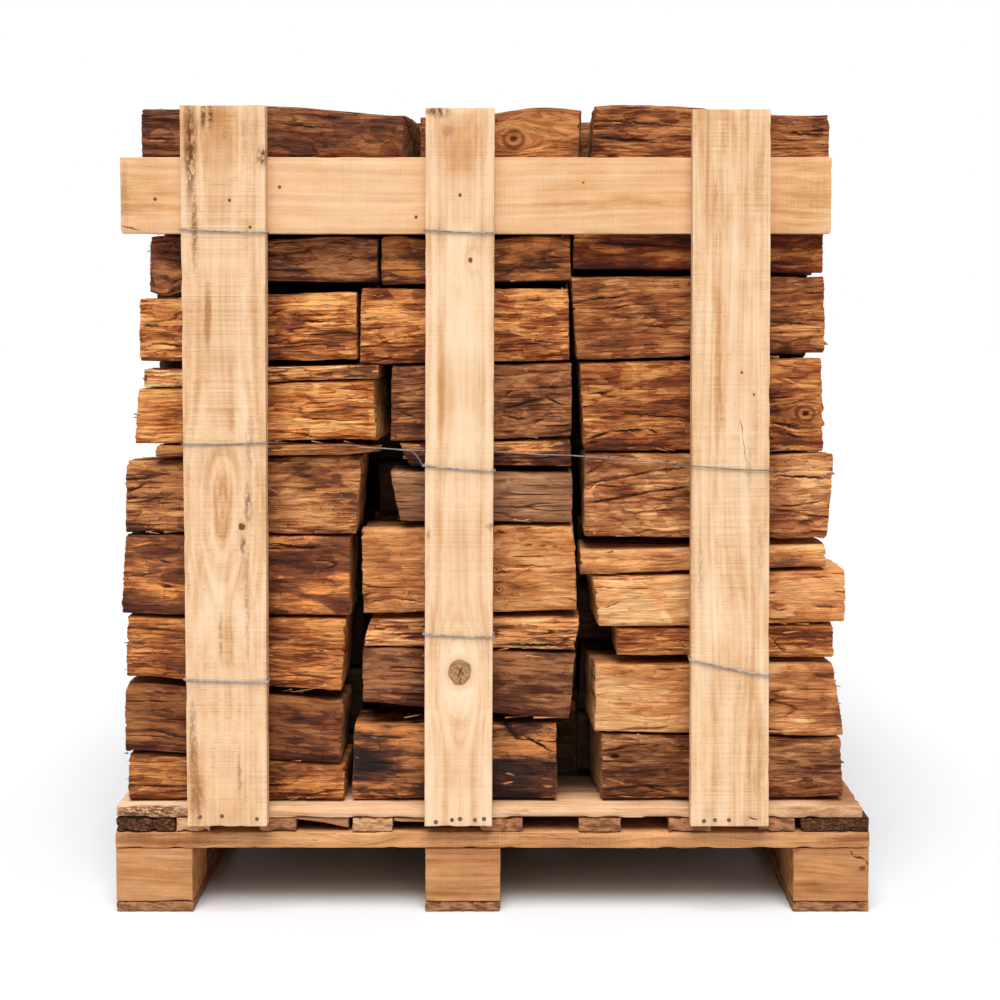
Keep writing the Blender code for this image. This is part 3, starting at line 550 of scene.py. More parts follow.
# What each front log has of its own, in millimetres from its left end and its foot: cracks and pale
# ridges (from, to, width), knots (place, radius), shades (place, half sizes, how much lighter),
# crowns and sags (place, half length, rise or fall of the top or the foot), slants (how far the
# front, the back and the top of the left and of the right end stand out) and top (how much painted
# light its upper side gets).
FRONT_MARKS = {
    "left_01": {
        "cracks": ((0, 21, 75, 17, 1.4),), "shades": ((245, 22, 60, 12, 0.15), (190, 15, 22, 40, -0.2))},
    "left_02": {
        "cracks": ((33, 46, 82, 33, 1.5), (8, 14, 70, 10, 1.2)),
        "shades": ((62, 45, 24, 8, 0.45), (30, 12, 60, 8, -0.3), (235, 78, 60, 12, 0.18),
            (250, 22, 60, 14, -0.12))},
    "left_03": {
        "cracks": ((215, 26, 262, 18, 1.0),), "ridges": ((262, 42, 280, 44, 1.2), (250, 58, 272, 55, 1.0)),
        "shades": ((275, 52, 26, 40, 0.28), (188, 40, 26, 60, -0.22), (90, 70, 60, 14, -0.1))},
    "left_04": {
        "cracks": ((46, 75, 62, 71, 1.4), (46, 41, 66, 38, 1.4), (0, 54, 46, 57, 0.9),
            (190, 98, 250, 90, 1.2)), "ridges": ((10, 93, 40, 100, 1.0),),
        "shades": ((35, 66, 46, 13, 0.42), (40, 6, 60, 12, -0.40), (245, 74, 62, 22, -0.30),
            (262, 33, 40, 7, 0.65), (245, 13, 40, 7, 0.45), (195, 50, 26, 40, -0.20)),
        "slants": ((2, 0, -6), (0, 0, 0))},
    "left_05": {
        "cracks": ((4, 56, 28, 68, 1.5), (18, 42, 60, 52, 1.2), (0, 46, 20, 50, 1.2)),
        "ridges": ((236, 56, 302, 57, 1.0), (280, 10, 306, 14, 1.6)),
        "shades": ((262, 26, 54, 15, 0.34), (193, 50, 20, 60, -0.25), (150, 4, 160, 5, -0.25),
            (40, 70, 50, 16, 0.1))},
    "left_06": {
        "cracks": ((278, 72, 316, 72, 1.2), (276, 49, 316, 48, 1.0), (290, 36, 312, 36, 1.0),
            (180, 3, 300, 4, 1.2)), "ridges": ((282, 58, 318, 57, 1.4), (290, 42, 318, 42, 1.2)),
        "shades": ((205, 30, 36, 10, 0.3), (178, 40, 18, 50, -0.25), (290, 30, 14, 8, -0.25)),
        "slants": ((0, 0, 0), (-4, 8, -2))},
    "left_07": {
        "cracks": ((250, 6, 305, 5, 1.0), (150, 4, 215, 8, 1.2)), "ridges": ((255, 12, 305, 11, 1.4),)},
    "left_08": {
        "cracks": ((2, 47, 28, 46, 1.6), (208, 53, 248, 52, 1.5), (196, 62, 215, 58, 1.2),
            (30, 22, 60, 20, 1.4)),
        "shades": ((250, 70, 60, 10, 0.32), (258, 36, 18, 16, -0.30), (170, 35, 18, 50, -0.2),
            (60, 80, 60, 10, 0.15))},
    "left_09": {
        "crowns": ((20, 30, 6), (240, 70, 6)), "sags": ((24, 44, 23), (250, 130, 6.0)),
        "shades": ((28, 28, 24, 10, -0.25), (215, 30, 60, 14, 0.12)), "ridges": ((150, 4, 260, 5, 1.0),)},
    "left_10": {"crowns": ((150, 900, -19),)},
    "left_11": {
        "cracks": ((0, 12, 52, 9, 1.6), (180, 30, 250, 24, 1.0)), "ridges": ((4, 9, 50, 7, 2.0),),
        "crowns": ((165, 95, 9), (30, 50, -1), (270, 60, 3)), "sags": ((165, 900, 18),),
        "slants": ((0, 0, 0), (2, 18, 4)),
        # Its lower strip, which faces down into shade, is lightened with painted light.
        "shades": ((315, 25, 20, 30, -0.25), (25, 4, 40, 7, 0.4), (200, 2, 150, 6, 0.2))},
    "middle_01": {
        "cracks": ((226, 88, 266, 66, 1.8), (0, 88, 70, 84, 1.0)),
        "ridges": ((200, 23, 214, 25, 1.3), (205, 36, 216, 34, 1.2), (254, 20, 268, 18, 1.4),
            (76, 88, 92, 72, 2.0)),
        # The pale band along its top and its lighter upper side are painted light.
        "shades": ((45, 96, 80, 7, 0.30), (22, 50, 30, 18, -0.50), (70, 28, 34, 12, 0.28),
            (82, 78, 18, 14, 0.6), (222, 76, 52, 20, 0.62), (222, 24, 52, 26, -0.9)), "top": 0.2},
    "middle_02": {
        "ridges": ((0, 64, 82, 67, 4.5), (176, 72, 262, 69, 3.6)),
        "shades": ((220, 20, 50, 10, 0.2), (235, 50, 60, 14, -0.05)), "crowns": ((60, 60, 1),)},
    "middle_03": {
        "ridges": ((176, 4, 262, 4, 2.2), (180, 12, 250, 10, 1.2)), "cracks": ((176, 8, 266, 6, 1.2),),
        "shades": ((35, 22, 40, 8, -0.2), (200, 24, 40, 5, 0.25)), "slants": ((0, -4, -14), (0, 0, 6))},
    "middle_04": {
        "cracks": ((8, 14, 44, 20, 1.0), (44, 20, 84, 14, 1.0), (178, 110, 192, 106, 1.6),
            (178, 54, 200, 55, 1.0)),
        "ridges": ((178, 58, 230, 60, 1.2), (230, 60, 284, 62, 1.2), (200, 115, 282, 114, 1.8)),
        "knots": ((180, 58, 5), (182, 32, 5)),
        "shades": ((40, 40, 60, 30, 0.1), (190, 90, 30, 20, -0.2), (250, 30, 40, 20, 0.12))},
    "middle_05": {
        "ridges": ((0, 64, 36, 66, 2.4),), "cracks": ((130, 20, 240, 22, 0.8),),
        "shades": ((20, 62, 26, 10, 0.5), (200, 40, 60, 10, 0.15))},
    "middle_06": {
        "shades": ((180, 28, 80, 7, 0.30), (180, 4, 90, 10, -0.8)), "ridges": ((124, 20, 224, 21, 1.4),)},
    "middle_07": {
        "cracks": ((142, 40, 205, 57, 1.8), (205, 57, 228, 46, 1.4), (150, 32, 182, 28, 2.0),
            (10, 40, 32, 30, 1.4), (185, 22, 205, 30, 1.6), (150, 60, 160, 66, 1.2)),
        "ridges": ((150, 35, 182, 31, 1.2), (205, 70, 226, 88, 1.0), (184, 18, 200, 22, 1.2))},
    "middle_08": {
        "shades": ((48, 62, 40, 16, 0.34), (12, 90, 20, 14, -0.2), (252, 76, 16, 12, 0.3)),
        "cracks": ((226, 30, 272, 26, 1.2), (150, 62, 232, 60, 1.0), (10, 8, 60, 4, 1.4)),
        "ridges": ((20, 66, 60, 72, 2.2), (160, 68, 230, 66, 1.4))},
    "middle_09": {
        "crowns": ((20, 32, 6), (205, 45, 6)),
        "shades": ((20, 30, 24, 30, 0.3), (40, 22, 12, 16, 0.25), (190, 26, 40, 20, -0.25)),
        "ridges": ((0, 6, 20, 8, 2.4),)},
    "middle_11": {
        "crowns": ((152, 60, 8), (90, 40, 1)), "knots": ((121, 50, 12),),
        "shades": ((120, 40, 40, 24, 0.3), (190, 50, 40, 20, 0.1)), "slants": ((0, 0, 0), (0, 4, 6))},
    "right_01": {
        "cracks": ((10, 58, 22, 58, 4.0), (46, 22, 90, 10, 1.6)),
        "ridges": ((22, 60, 30, 60, 2.0), (4, 30, 30, 22, 1.2), (248, 26, 266, 28, 2.0)),
        "shades": ((24, 8, 50, 12, -0.45), (106, 56, 20, 14, -0.35), (60, 60, 60, 20, -0.1)),
        "slants": ((1, 12, 0), (0, 0, -4))},
    "right_02": {
        "cracks": ((188, 14, 244, 8, 1.4), (196, 8, 246, 3, 1.6), (226, 44, 240, 50, 2.0)),
        "ridges": ((190, 11, 246, 5, 1.4), (176, 24, 186, 22, 3.0)),
        "shades": ((56, 66, 60, 12, 0.22), (62, 14, 70, 11, 0.26), (205, 60, 40, 26, 0.1),
            (80, 40, 30, 8, -0.1)), "slants": ((2, 10, 0), (0, 0, 0))},
    "right_03": {"cracks": ((205, 27, 222, 8, 1.0),), "shades": ((200, 20, 40, 14, -0.1),)},
    "right_04": {
        "ridges": ((82, 22, 98, 4, 5.0), (8, 6, 60, 8, 3.0)),
        "cracks": ((232, 23, 252, 22, 1.4), (286, 27, 318, 26, 1.6), (282, 66, 304, 66, 1.2),
            (226, 44, 236, 46, 1.6), (5, 24, 30, 34, 0.8)),
        "shades": ((30, 52, 34, 3, -0.35), (20, 20, 28, 8, 0.2), (90, 50, 40, 14, 0.12),
            (235, 52, 30, 10, -0.12)), "slants": ((6, 12, 4), (0, 0, 3))},
    "right_05": {
        "cracks": ((120, 5, 180, 8, 0.9),), "shades": ((290, 12, 50, 10, -0.3), (100, 26, 170, 60, 0.30))},
    "right_06": {
        "cracks": ((0, 72, 42, 80, 1.4), (42, 80, 90, 90, 1.6), (90, 90, 140, 94, 1.6),
            (0, 46, 50, 54, 1.6), (50, 54, 90, 63, 2.0), (90, 63, 140, 68, 2.0), (2, 86, 20, 96, 1.2),
            (244, 84, 330, 80, 1.6)),
        "ridges": ((11, 8, 15, 8, 2.0), (4, 62, 20, 76, 1.0), (244, 87, 300, 84, 1.0)),
        "shades": ((70, 74, 70, 10, 0.25), (70, 4, 90, 8, -0.35), (250, 60, 30, 20, -0.15),
            (300, 8, 50, 10, -0.3))},
    "right_07": {
        "cracks": ((12, 16, 40, 26, 2.0), (40, 26, 90, 29, 2.4), (90, 29, 104, 24, 1.6),
            (12, 10, 24, 12, 3.4), (10, 76, 40, 78, 1.4), (60, 50, 140, 44, 1.2), (252, 40, 290, 30, 1.6),
            (256, 26, 300, 16, 1.8)),
        "ridges": ((40, 29, 90, 32, 1.4), (256, 6, 320, 2, 3.2), (252, 36, 290, 26, 1.2),
            (260, 100, 300, 84, 1.0)), "knots": ((298, 50, 10.5),),
        "shades": ((66, 8, 70, 9, -0.30), (30, 60, 30, 10, -0.12), (270, 56, 30, 14, -0.25),
            (285, 14, 40, 6, -0.3))},
    "right_08": {
        "cracks": ((60, 55, 90, 55, 1.4), (90, 46, 130, 42, 1.2), (20, 80, 70, 82, 1.2),
            (260, 50, 320, 46, 1.4)),
        "shades": ((110, 60, 20, 14, -0.15), (60, 102, 70, 8, 0.18), (300, 30, 30, 12, 0.15),
            (262, 92, 40, 10, -0.2)), "crowns": ((180, 120, 1),)},
    "right_09": {
        "shades": ((50, 24, 50, 6, 0.35), (80, 44, 60, 8, -0.15), (265, 36, 30, 10, -0.3)),
        "cracks": ((4, 40, 140, 34, 1.6), (250, 12, 300, 10, 1.6))},
    "right_10": {
        "cracks": ((20, 100, 120, 92, 1.8), (0, 78, 90, 74, 1.4), (250, 84, 320, 80, 1.6)),
        "crowns": ((45, 30, 1), (125, 50, 4), (290, 60, -3))},
}

front_grid = log_template(around=124, along=78, rings=5)
seed = 0
for column, looks in FRONT_LOOKS.items():
    for number, (dark, mid, light, *look) in enumerate(looks, 1):
        seed += 1
        node = f"log_{column}_{number:02d}"
        marks = FRONT_MARKS.get(f"{column}_{number:02d}", {})
        low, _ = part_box(node)
        places, skin, rings = carve(front_grid, read_solid(node), look, seed, marks=marks)
        mesh = finished(front_grid["mesh"].copy(), places, skin=skin, heart=rings)
        wood = log_wood(node + "_wood", dark, mid, light, look[0], marks, (low.x, low.z))
        add_piece("split_" + node, mesh, [wood], [node])

# ---------------------------------------------------------------- pallet boards
# Runner boards, blocks, stringers, slats and deck boards of rough softwood, each its own board.
# A cube is cut into a grid, its edges are rounded and chipped, and noise roughens its faces.
def plank(low, high, step, edge=1.0):
    """A box between two corners in metres whose faces are a grid of about step millimetres along
    each axis, with a narrow row beside each edge: the mesh and its places in millimetres."""
    size = (np.array(high) - np.array(low)) / MM
    cells = [max(4, round(s / each)) for s, each in zip(size, step)]
    bm = bmesh.new()
    bmesh.ops.create_cube(bm, size=1.0)
    for axis in range(3):
        along = [e for e in bm.edges if abs(e.verts[0].co[axis] - e.verts[1].co[axis]) > 0.5]
        bmesh.ops.subdivide_edges(bm, edges=along, cuts=cells[axis] - 1, use_grid_fill=True)
    mesh = made_mesh(bm, "plank")
    places = np.empty(len(mesh.vertices) * 3)
    mesh.vertices.foreach_get("co", places)
    places = places.reshape(-1, 3) + 0.5
    for axis in range(3):
        count, full = cells[axis], size[axis]
        lines = np.concatenate([[0, edge], np.linspace(edge, full - edge, count - 1)[1:-1],
                                [full - edge, full]])
        places[:, axis] = lines[np.rint(places[:, axis] * count).astype(int)]
    return mesh, places, size


def weather(places, size, seed, chips=1.2, warp=0.6, fuzz=0.12, length=0):
    """Rounds and chips the edges of a plank, bends it a little and roughens its faces."""
    gaps = np.minimum(places, size - places)
    side = np.where(places < size / 2, -1.0, 1.0)
    lean = side * (1 - ease(0.0, 2.5, gaps))
    second = np.sort(gaps, axis=1)[:, 1]
    near_edge = 1 - ease(0.0, 4.0, second)
    scale = np.full(3, 9.0)
    scale[length] = 26.0
    torn = ease(0.1, 0.75, cloud(places / scale, seed))
    fine = np.full(3, 3.0)
    fine[length] = 12.0
    amount = near_edge * (0.35 + chips * torn) + fuzz * (1 + cloud(places / fine, seed + 1))
    slow = places / 260 + seed
    bend = np.column_stack([cloud(slow + shift, seed + 2) for shift in (0, 9, 17)])
    bend[:, length] = 0
    return places - lean * amount[:, None] + warp * bend


def figure(along, across, rings=(), eye=None):
    """The place of a board's growth lines: its across, pushed aside round (along, across, long,
    wide, push) places such as knots, all in millimetres. Round an eye (along, across, long, deep)
    the lines close into ovals, alike on both sides of it."""
    moved = across + 3.0 * cloud(np.column_stack([along / 210, across / 45, across * 0]), 3)
    if eye:
        at, to, long, deep = eye
        moved = np.hypot(moved - to, deep * (1 - np.exp(-((along - at) / long) ** 2)))
    for at, to, long, wide, push in rings:
        away = ((along - at) / long) ** 2 + ((across - to) / wide) ** 2
        moved = moved + push * np.exp(-away)
    return moved


def board(low, high, seed, axes=(0, 2, 1), step=(6, 4, 4), rings=(), shape=None, eye=None, **worn):
    """A finished board: axes are its long, wide and thin axis, and rings the bends of its figure."""
    mesh, places, size = plank(low, high, step)
    long, wide, thin = axes
    along, across, deep = places[:, long], places[:, wide], places[:, thin]
    grain = np.column_stack([along, figure(along, across, rings, eye) + deep * 0.35, deep + seed * 37.0])
    gap = np.minimum(along, size[long] - along)
    spot = np.column_stack([along, across, np.where(gap < 0.3, 1000.0, 0.0)])
    moved = weather(places, size, seed, length=long, **worn)
    if shape:
        moved = shape(moved, size)
    mesh.shade_smooth()
    return finished(mesh, moved * MM + np.array(low), grain=grain * MM, spot=spot * MM)


def board_wood(name, dark, mid, light, saw=1.0, dirt=0.2, stain="#744322", split=0.0, knots=(), stains=(),
               shades=(), cracks=(), banded=0.70, deep_shade=()):
    """Sawn softwood: growth bands along the board and saw marks across it. Its knots, stains, shades
    and cracks are placed along and across the board from its low corner, in millimetres. Its last
    argument paints shade, dark from one depth to another, above a height and within a half width, in
    metres."""
    material, tree, shader = new_material(name)
    grain = add(tree, "Attribute", attribute_name="grain", out=1)
    spot = add(tree, "SeparateXYZ", add(tree, "Attribute", attribute_name="spot", out=1))
    # Growth bands 7 to 11 mm wide, with fibres drawn 3 mm wide, which is coarser than real ones. The
    # saw leaves ridges 1.5 mm apart across the board, here deeper and there worn away.
    bands = mottle(grain, (600, 7, 11), 2, 0.55)
    bent = add(tree, "Mix", {0: 0.35, 2: spot[1], 3: add(tree, "SeparateXYZ", grain)[1]}, data_type="FLOAT")
    lines = mottle(add(tree, "CombineXYZ", (spot, bent, spot[1])), (210, 3.2, 40), 4, 0.68)
    sawn = mottle(grain, (1.5, 120, 45), 2, 0.6)
    kept = {"operation": "MULTIPLY_ADD", "use_clamp": True}
    deep = add(tree, "Math", (mottle(grain, (70, 26, 30), 1, 0.5), 5.0, -2.1), **kept)
    sawn = (sawn - 0.5) * (deep * 0.75 + 0.25) + 0.5
    cloudy = mottle(grain, (90, 22, 26), 3, 0.6)
    ticks = add(tree, "ValToRGB", mottle(grain, (1.5, 6, 20), 1, 0.5), stops=((0.62, BLACK), (0.74, WHITE)))
    tone = lines * 0.46 + (-0.12 - 0.5 * banded - 0.19 * saw)
    tone = bands * banded + tone
    tone = sawn * (0.38 * saw) + cloudy * 0.70 + tone
    tone = ticks * (-0.10 * saw) + tone
    # Marks are given one by one, and their outlines shaken a little so that they look natural.
    shaken = add(tree, "TexNoise", {"Vector": grain, "Scale": 90.0, "Detail": 2.0}, out=1)
    shaken = add(tree, "SeparateXYZ", shaken)
    place = add(tree, "CombineXYZ", (shaken * (8 * MM) + spot - 4 * MM,
                                     shaken * (4 * MM) + spot[1] - 2 * MM))
    uneven = mottle(grain, (45, 5, 8), 2, 0.6) * 2.4 - 0.4
    for at, to, long, wide, amount in shades:
        tone = oval(place, (at, to), (long, wide), 0, 0.3, 1.2) * uneven * amount + tone
    wood = add(tree, "ValToRGB", tone,
               stops=((0.0, tint(dark, 0.8)), (0.16, dark), (0.46, mid), (0.80, light)))
    flecks = mottle(grain, (5, 1.8, 1.8), 2, 0.5)
    wood = layered(wood, (add(tree, "ValToRGB", flecks, stops=((0.66, BLACK), (0.73, "#909090"))), dark))
    for at, to, size in knots:
        pale, brown = ("#B48A60", "#86613F") if size > 8 else (stain, stain)
        ringed = add(tree, "Math", shaken * 30.0, operation="SINE")
        heart = layered(pale, (ringed * 0.5 + 0.35, brown))
        halo = oval(place, (at, to), (1.9 * size, 1.5 * size), 0, 0.5, 1.0) * 0.5
        rim = oval(place, (at, to), (1.08 * size, 0.95 * size), 0, 0.8, 1.0)
        inside = oval(place, (at, to), (0.98 * size, 0.86 * size), 0, 0.8, 1.0)
        wood = layered(wood, (halo, dark), (rim, tint(stain, 1.3)), (inside, heart))
    if stains:
        blots = strongest([oval(place, (at, to), (long, wide), 0, 0.2, 1.3) * amount
                           for at, to, long, wide, amount in stains])
        soak = add(tree, "Math", (mottle(grain, (9, 3.2, 3), 4, 0.75), 7.0, -2.7), **kept)
        wood = layered(wood, (blots * soak, tint(stain, 0.75)))
    gaps = [line_mark(place, line) for line in cracks]
    if split:
        vein = abs(mottle(grain, (170, 5, 8), 2, 0.5, 0.3) - 0.5)
        gaps.append(add(tree, "ValToRGB", vein, stops=((0.006, WHITE), (0.018, BLACK))) * split)
    if gaps:
        wood = layered(wood, (strongest(gaps), tint(stain, 0.35)))
    grime = add(tree, "Math", (mottle(grain, (60, 16, 16), 4, 0.7), 2.6, -0.9), **kept)
    wood = layered(wood, (grime * dirt, stain))
    # The board's sawn ends are darker, with torn fibres.
    torn = mottle(grain, (5, 11, 3.2), 4, 0.65) * 1.25 + mottle(grain, (60, 24, 9), 2, 0.5)
    ended = add(tree, "ValToRGB", torn * 0.5,
                stops=((0.36, tint(dark, 0.5)), (0.50, dark), (0.62, mid), (0.90, light)))
    colour = layered(wood, (spot[2] * 0.85, ended))
    # Painted shade: deep inside the pallet, where little light reaches, the wood is darkened towards black.
    if deep_shade:
        shade_starts, shade_full, height, half = deep_shade
        spread = add(tree, "SeparateXYZ", add(tree, "TexCoord", out=3))
        far_in = add(tree, "MapRange", (abs(spread[1]), shade_starts, shade_full, 0.0, 0.9),
                     interpolation_type="SMOOTHSTEP")
        high = add(tree, "MapRange", (spread[2], height, height + 0.0009))
        within = add(tree, "MapRange", (abs(spread), half, half - 0.02))
        colour = layered(colour, (far_in * (high * within), "#180D07"))
    height = lines + sawn * (0.9 * saw)
    feed(shader, colour=colour, roughness=0.72, specular=0.3, relief=(0.5, 0.7, height))
    return material


def bark_skin(name, dark="#2B170C", mid="#53301C", light="#875A3B"):
    """Bark left on a board's outer edge: dark scales parted by cracks, with paler ridges."""
    material, tree, shader = new_material(name)
    coords = add(tree, "TexCoord", out=3)
    scales = mottle(coords, (9, 9, 3.6), 4, 0.75, 0.8)
    cracks = add(tree, "TexVoronoi", {"Vector": scaled(coords, (9, 9, 4.5)), "Scale": 1.0},
                 feature="DISTANCE_TO_EDGE")
    tone = add(tree, "Math", (cracks, 0.12), operation="MINIMUM") * 3.2 + scales * 1.9 - 0.85
    colour = add(tree, "ValToRGB", tone, stops=((0.10, dark), (0.42, mid), (0.8, light)))
    feed(shader, colour=colour, roughness=0.9, specular=0.2, relief=(0.9, 2.0, tone))
    return material


def join_pieces(parts):
    """One mesh from several (mesh, material number) parts, with their attributes."""
    bm = bmesh.new()
    for mesh, _ in parts:
        bm.from_mesh(mesh)
    joined = made_mesh(bm, "joined")
    numbers = np.concatenate([np.full(len(mesh.polygons), number) for mesh, number in parts])
    joined.polygons.foreach_set("material_index", numbers.astype(np.int32))
    joined.update()
    for mesh, _ in parts:
        bpy.data.meshes.remove(mesh)
    return joined


# The pallet is as wide as it is deep. Its layers are given by the heights of their tops.
HALF = 0.500
PALLET = {"runner": 0.014, "block": 0.086, "stringer": 0.108, "slat": 0.127, "deck": 0.142}
RUNNERS = {"left": (-0.500, -0.397), "middle": (-0.090, 0.011), "right": (0.398, 0.500)}
BLOCK_ROWS = (-0.500, -0.050, 0.400)
BLOCK_DEEP = 0.100
SLATS = ((-0.499, -0.420), (-0.419, -0.374), (-0.310, -0.260), (-0.186, -0.132), (-0.017, 0.040),
         (0.114, 0.171), (0.233, 0.290), (0.351, 0.401), (0.408, 0.499))
# Boards that lie on each other, or side by side, stop short of their neighbours by these.
GAP = 0.0004
MARGIN = 0.0005
# Where painted shade darkens the wood deep between the slats, in the order that board_wood takes it.
SLAT_SHADE = (0.494, 0.466, 0.1068, 0.53)

pallet_wood = board_wood("pallet_wood", "#A4683D", "#D59962", "#E9B784", dirt=0.40, split=0.6,
                         deep_shade=SLAT_SHADE,
                         shades=((60, 10, 70, 14, -0.35), (990, 10, 60, 14, -0.3)))
block_wood = board_wood("block_wood", "#99602F", "#C68A57", "#DDA774", saw=0.8, dirt=0.34, split=0.2)
cracked_wood = board_wood("cracked_block_wood", "#8C5429", "#B87B48", "#D29B66", saw=0.8, dirt=0.34,
                          split=0.2, shades=((60, 50, 60, 12, 0.3), (30, 20, 40, 10, -0.2)),
                          knots=((92, 45, 3.5),), cracks=((76, 69, 80, 62, 1.4), (80, 62, 95, 56, 1.8),
                                                          (95, 56, 102, 47, 1.4), (0, 66, 8, 71, 0.8)))
runner_wood = board_wood("runner_wood", "#6B4226", "#A5714B", "#CB976B", dirt=0.55, split=1.0)

# Each board has a number, which seeds its figure and its wear.
number = 0
for side, (left, right) in RUNNERS.items():
    runner = board((left, -HALF, 0), (right, HALF, PALLET["runner"] - GAP), 40 + number, axes=(1, 0, 2),
                   step=(5, 4, 2.0), chips=3.6, warp=0.2, fuzz=0.5)
    parts = [(runner, 0)]
    for row in BLOCK_ROWS:
        number += 1
        block = board((left + MARGIN, row + MARGIN, PALLET["runner"]),
                      (right - MARGIN, row + BLOCK_DEEP - MARGIN, PALLET["block"] - 0.0006), 50 + number,
                      axes=(0, 2, 1), step=(4, 4, 4), chips=1.2, warp=0.3, fuzz=0.18,
                      rings=((90, 40, 60, 22, 8),) if number % 2 else ())
        parts.append((block, 2 if side == "right" and row == BLOCK_ROWS[0] else 1))
    add_piece(f"skid_boards_{side}", join_pieces(parts), [runner_wood, block_wood, cracked_wood],
              ["skid_" + side])

parts = []
for row in BLOCK_ROWS:
    number += 1
    mesh = board((-HALF, row, PALLET["block"]), (HALF, row + BLOCK_DEEP, PALLET["stringer"] - GAP),
                 60 + number, axes=(0, 2, 1), step=(5, 4.5, 2.6), chips=1.8, warp=0.5, fuzz=0.25,
                 rings=((330, 11, 40, 9, 14), (740, 12, 60, 8, -12)))
    parts.append((mesh, 0))
for index, (left, right) in enumerate(SLATS):
    number += 1
    mesh = board((left, MARGIN - HALF, PALLET["stringer"]), (right, HALF - MARGIN, PALLET["slat"] - GAP),
                 60 + number, axes=(1, 0, 2), step=(4.0, 26, 3.6), chips=2.6, warp=0.3, fuzz=0.35)
    parts.append((mesh, 1 if index in (0, 8) else 2 if index in (1, 3) else 3))


def wane(places, size):
    """Thins a piece of the board's own rounded edge to nothing at its left end."""
    share = np.clip(places[:, 0] / size[0], 0, 1) ** 1.4
    thinned = (size[2] - places[:, 2]) * (0.06 + 0.94 * share)
    places[:, 2] = size[2] - thinned + 0.6 * np.sin(places[:, 0] / 7) * share
    return places


# Under the front deck board a strip of its waney edge hangs down, and a thin packing strip.
for low, high, shape, material in (((-0.2745, -0.4975, 0.1125), (-0.1900, -0.4300, 0.1266), wane, 3),
                                   ((-0.1310, -0.4975, 0.1205), (-0.0900, -0.4500, 0.1266), None, 0)):
    number += 1
    mesh = board(low, high, 60 + number, axes=(0, 2, 1), step=(3.0, 3.0, 12), chips=1.6, warp=0.2,
                 fuzz=0.3, shape=shape)
    parts.append((mesh, material))
pale_slat = board_wood("pale_slat_wood", "#9A6A44", "#CE9D72", "#E6C097", dirt=0.30, split=0.4,
                       deep_shade=SLAT_SHADE)
brown_slat = board_wood("brown_slat_wood", "#6A4025", "#A9714A", "#D09B6B", dirt=0.45, split=0.8,
                        deep_shade=SLAT_SHADE)
add_piece("slatted_layer", join_pieces(parts), [pallet_wood, bark_skin("slat_bark"), pale_slat, brown_slat],
          ["slatted_base"])

# The lighter patch on top at its left end is painted light over the shadow that the logs cast there.
deck_wood = board_wood("deck_wood", "#BF8A5C", "#E2B489", "#EFCBA4", saw=0.6, dirt=0.20, split=0.35,
                       deep_shade=(0.484, 0.385, 0.100, 0.455),
                       shades=((975, 80, 75, 90, -0.85), (60, 60, 90, 90, 0.30), (600, 80, 60, 60, -0.3)),
                       stains=((45, 0, 80, 9, 1.0), (970, 50, 44, 70, 0.4), (930, 0, 60, 6, 0.5)))
DECK_SPAN = (-0.499, 0.490)
DECK_WIDE = 0.138
for index in range(6):
    front = index * (2 * HALF - DECK_WIDE) / 5 - HALF
    mesh = board((DECK_SPAN[0], front, PALLET["slat"]),
                 (DECK_SPAN[1], front + DECK_WIDE, PALLET["deck"] - GAP), 80 + index, axes=(0, 1, 2),
                 step=(5, 5, 2.4) if index == 0 else (12, 9, 5), chips=2.6 if index == 0 else 1.0,
                 warp=0.15, fuzz=0.15)
    add_piece(f"deck_plank_{index + 1}", mesh, [deck_wood], [f"deck_board_{index + 1}"])

# ---------------------------------------------------------------- crate boards
# Three uprights and one rail on the front and on the back: pale sawn pine, nailed, with the knots,
# growth ovals, saw marks and stains that each board has. The uprights lean a little.
UPRIGHT_FOOT = 0.122
# The left and right edge of each at its foot, then at its top, and the height of its top.
UPRIGHTS = {
    "left": (-0.400, -0.295, -0.400, -0.290, 1.060),
    "middle": (-0.089, 0.000, -0.085, 0.004, 1.057),
    "right": (0.260, 0.363, 0.257, 0.357, 1.055),
}
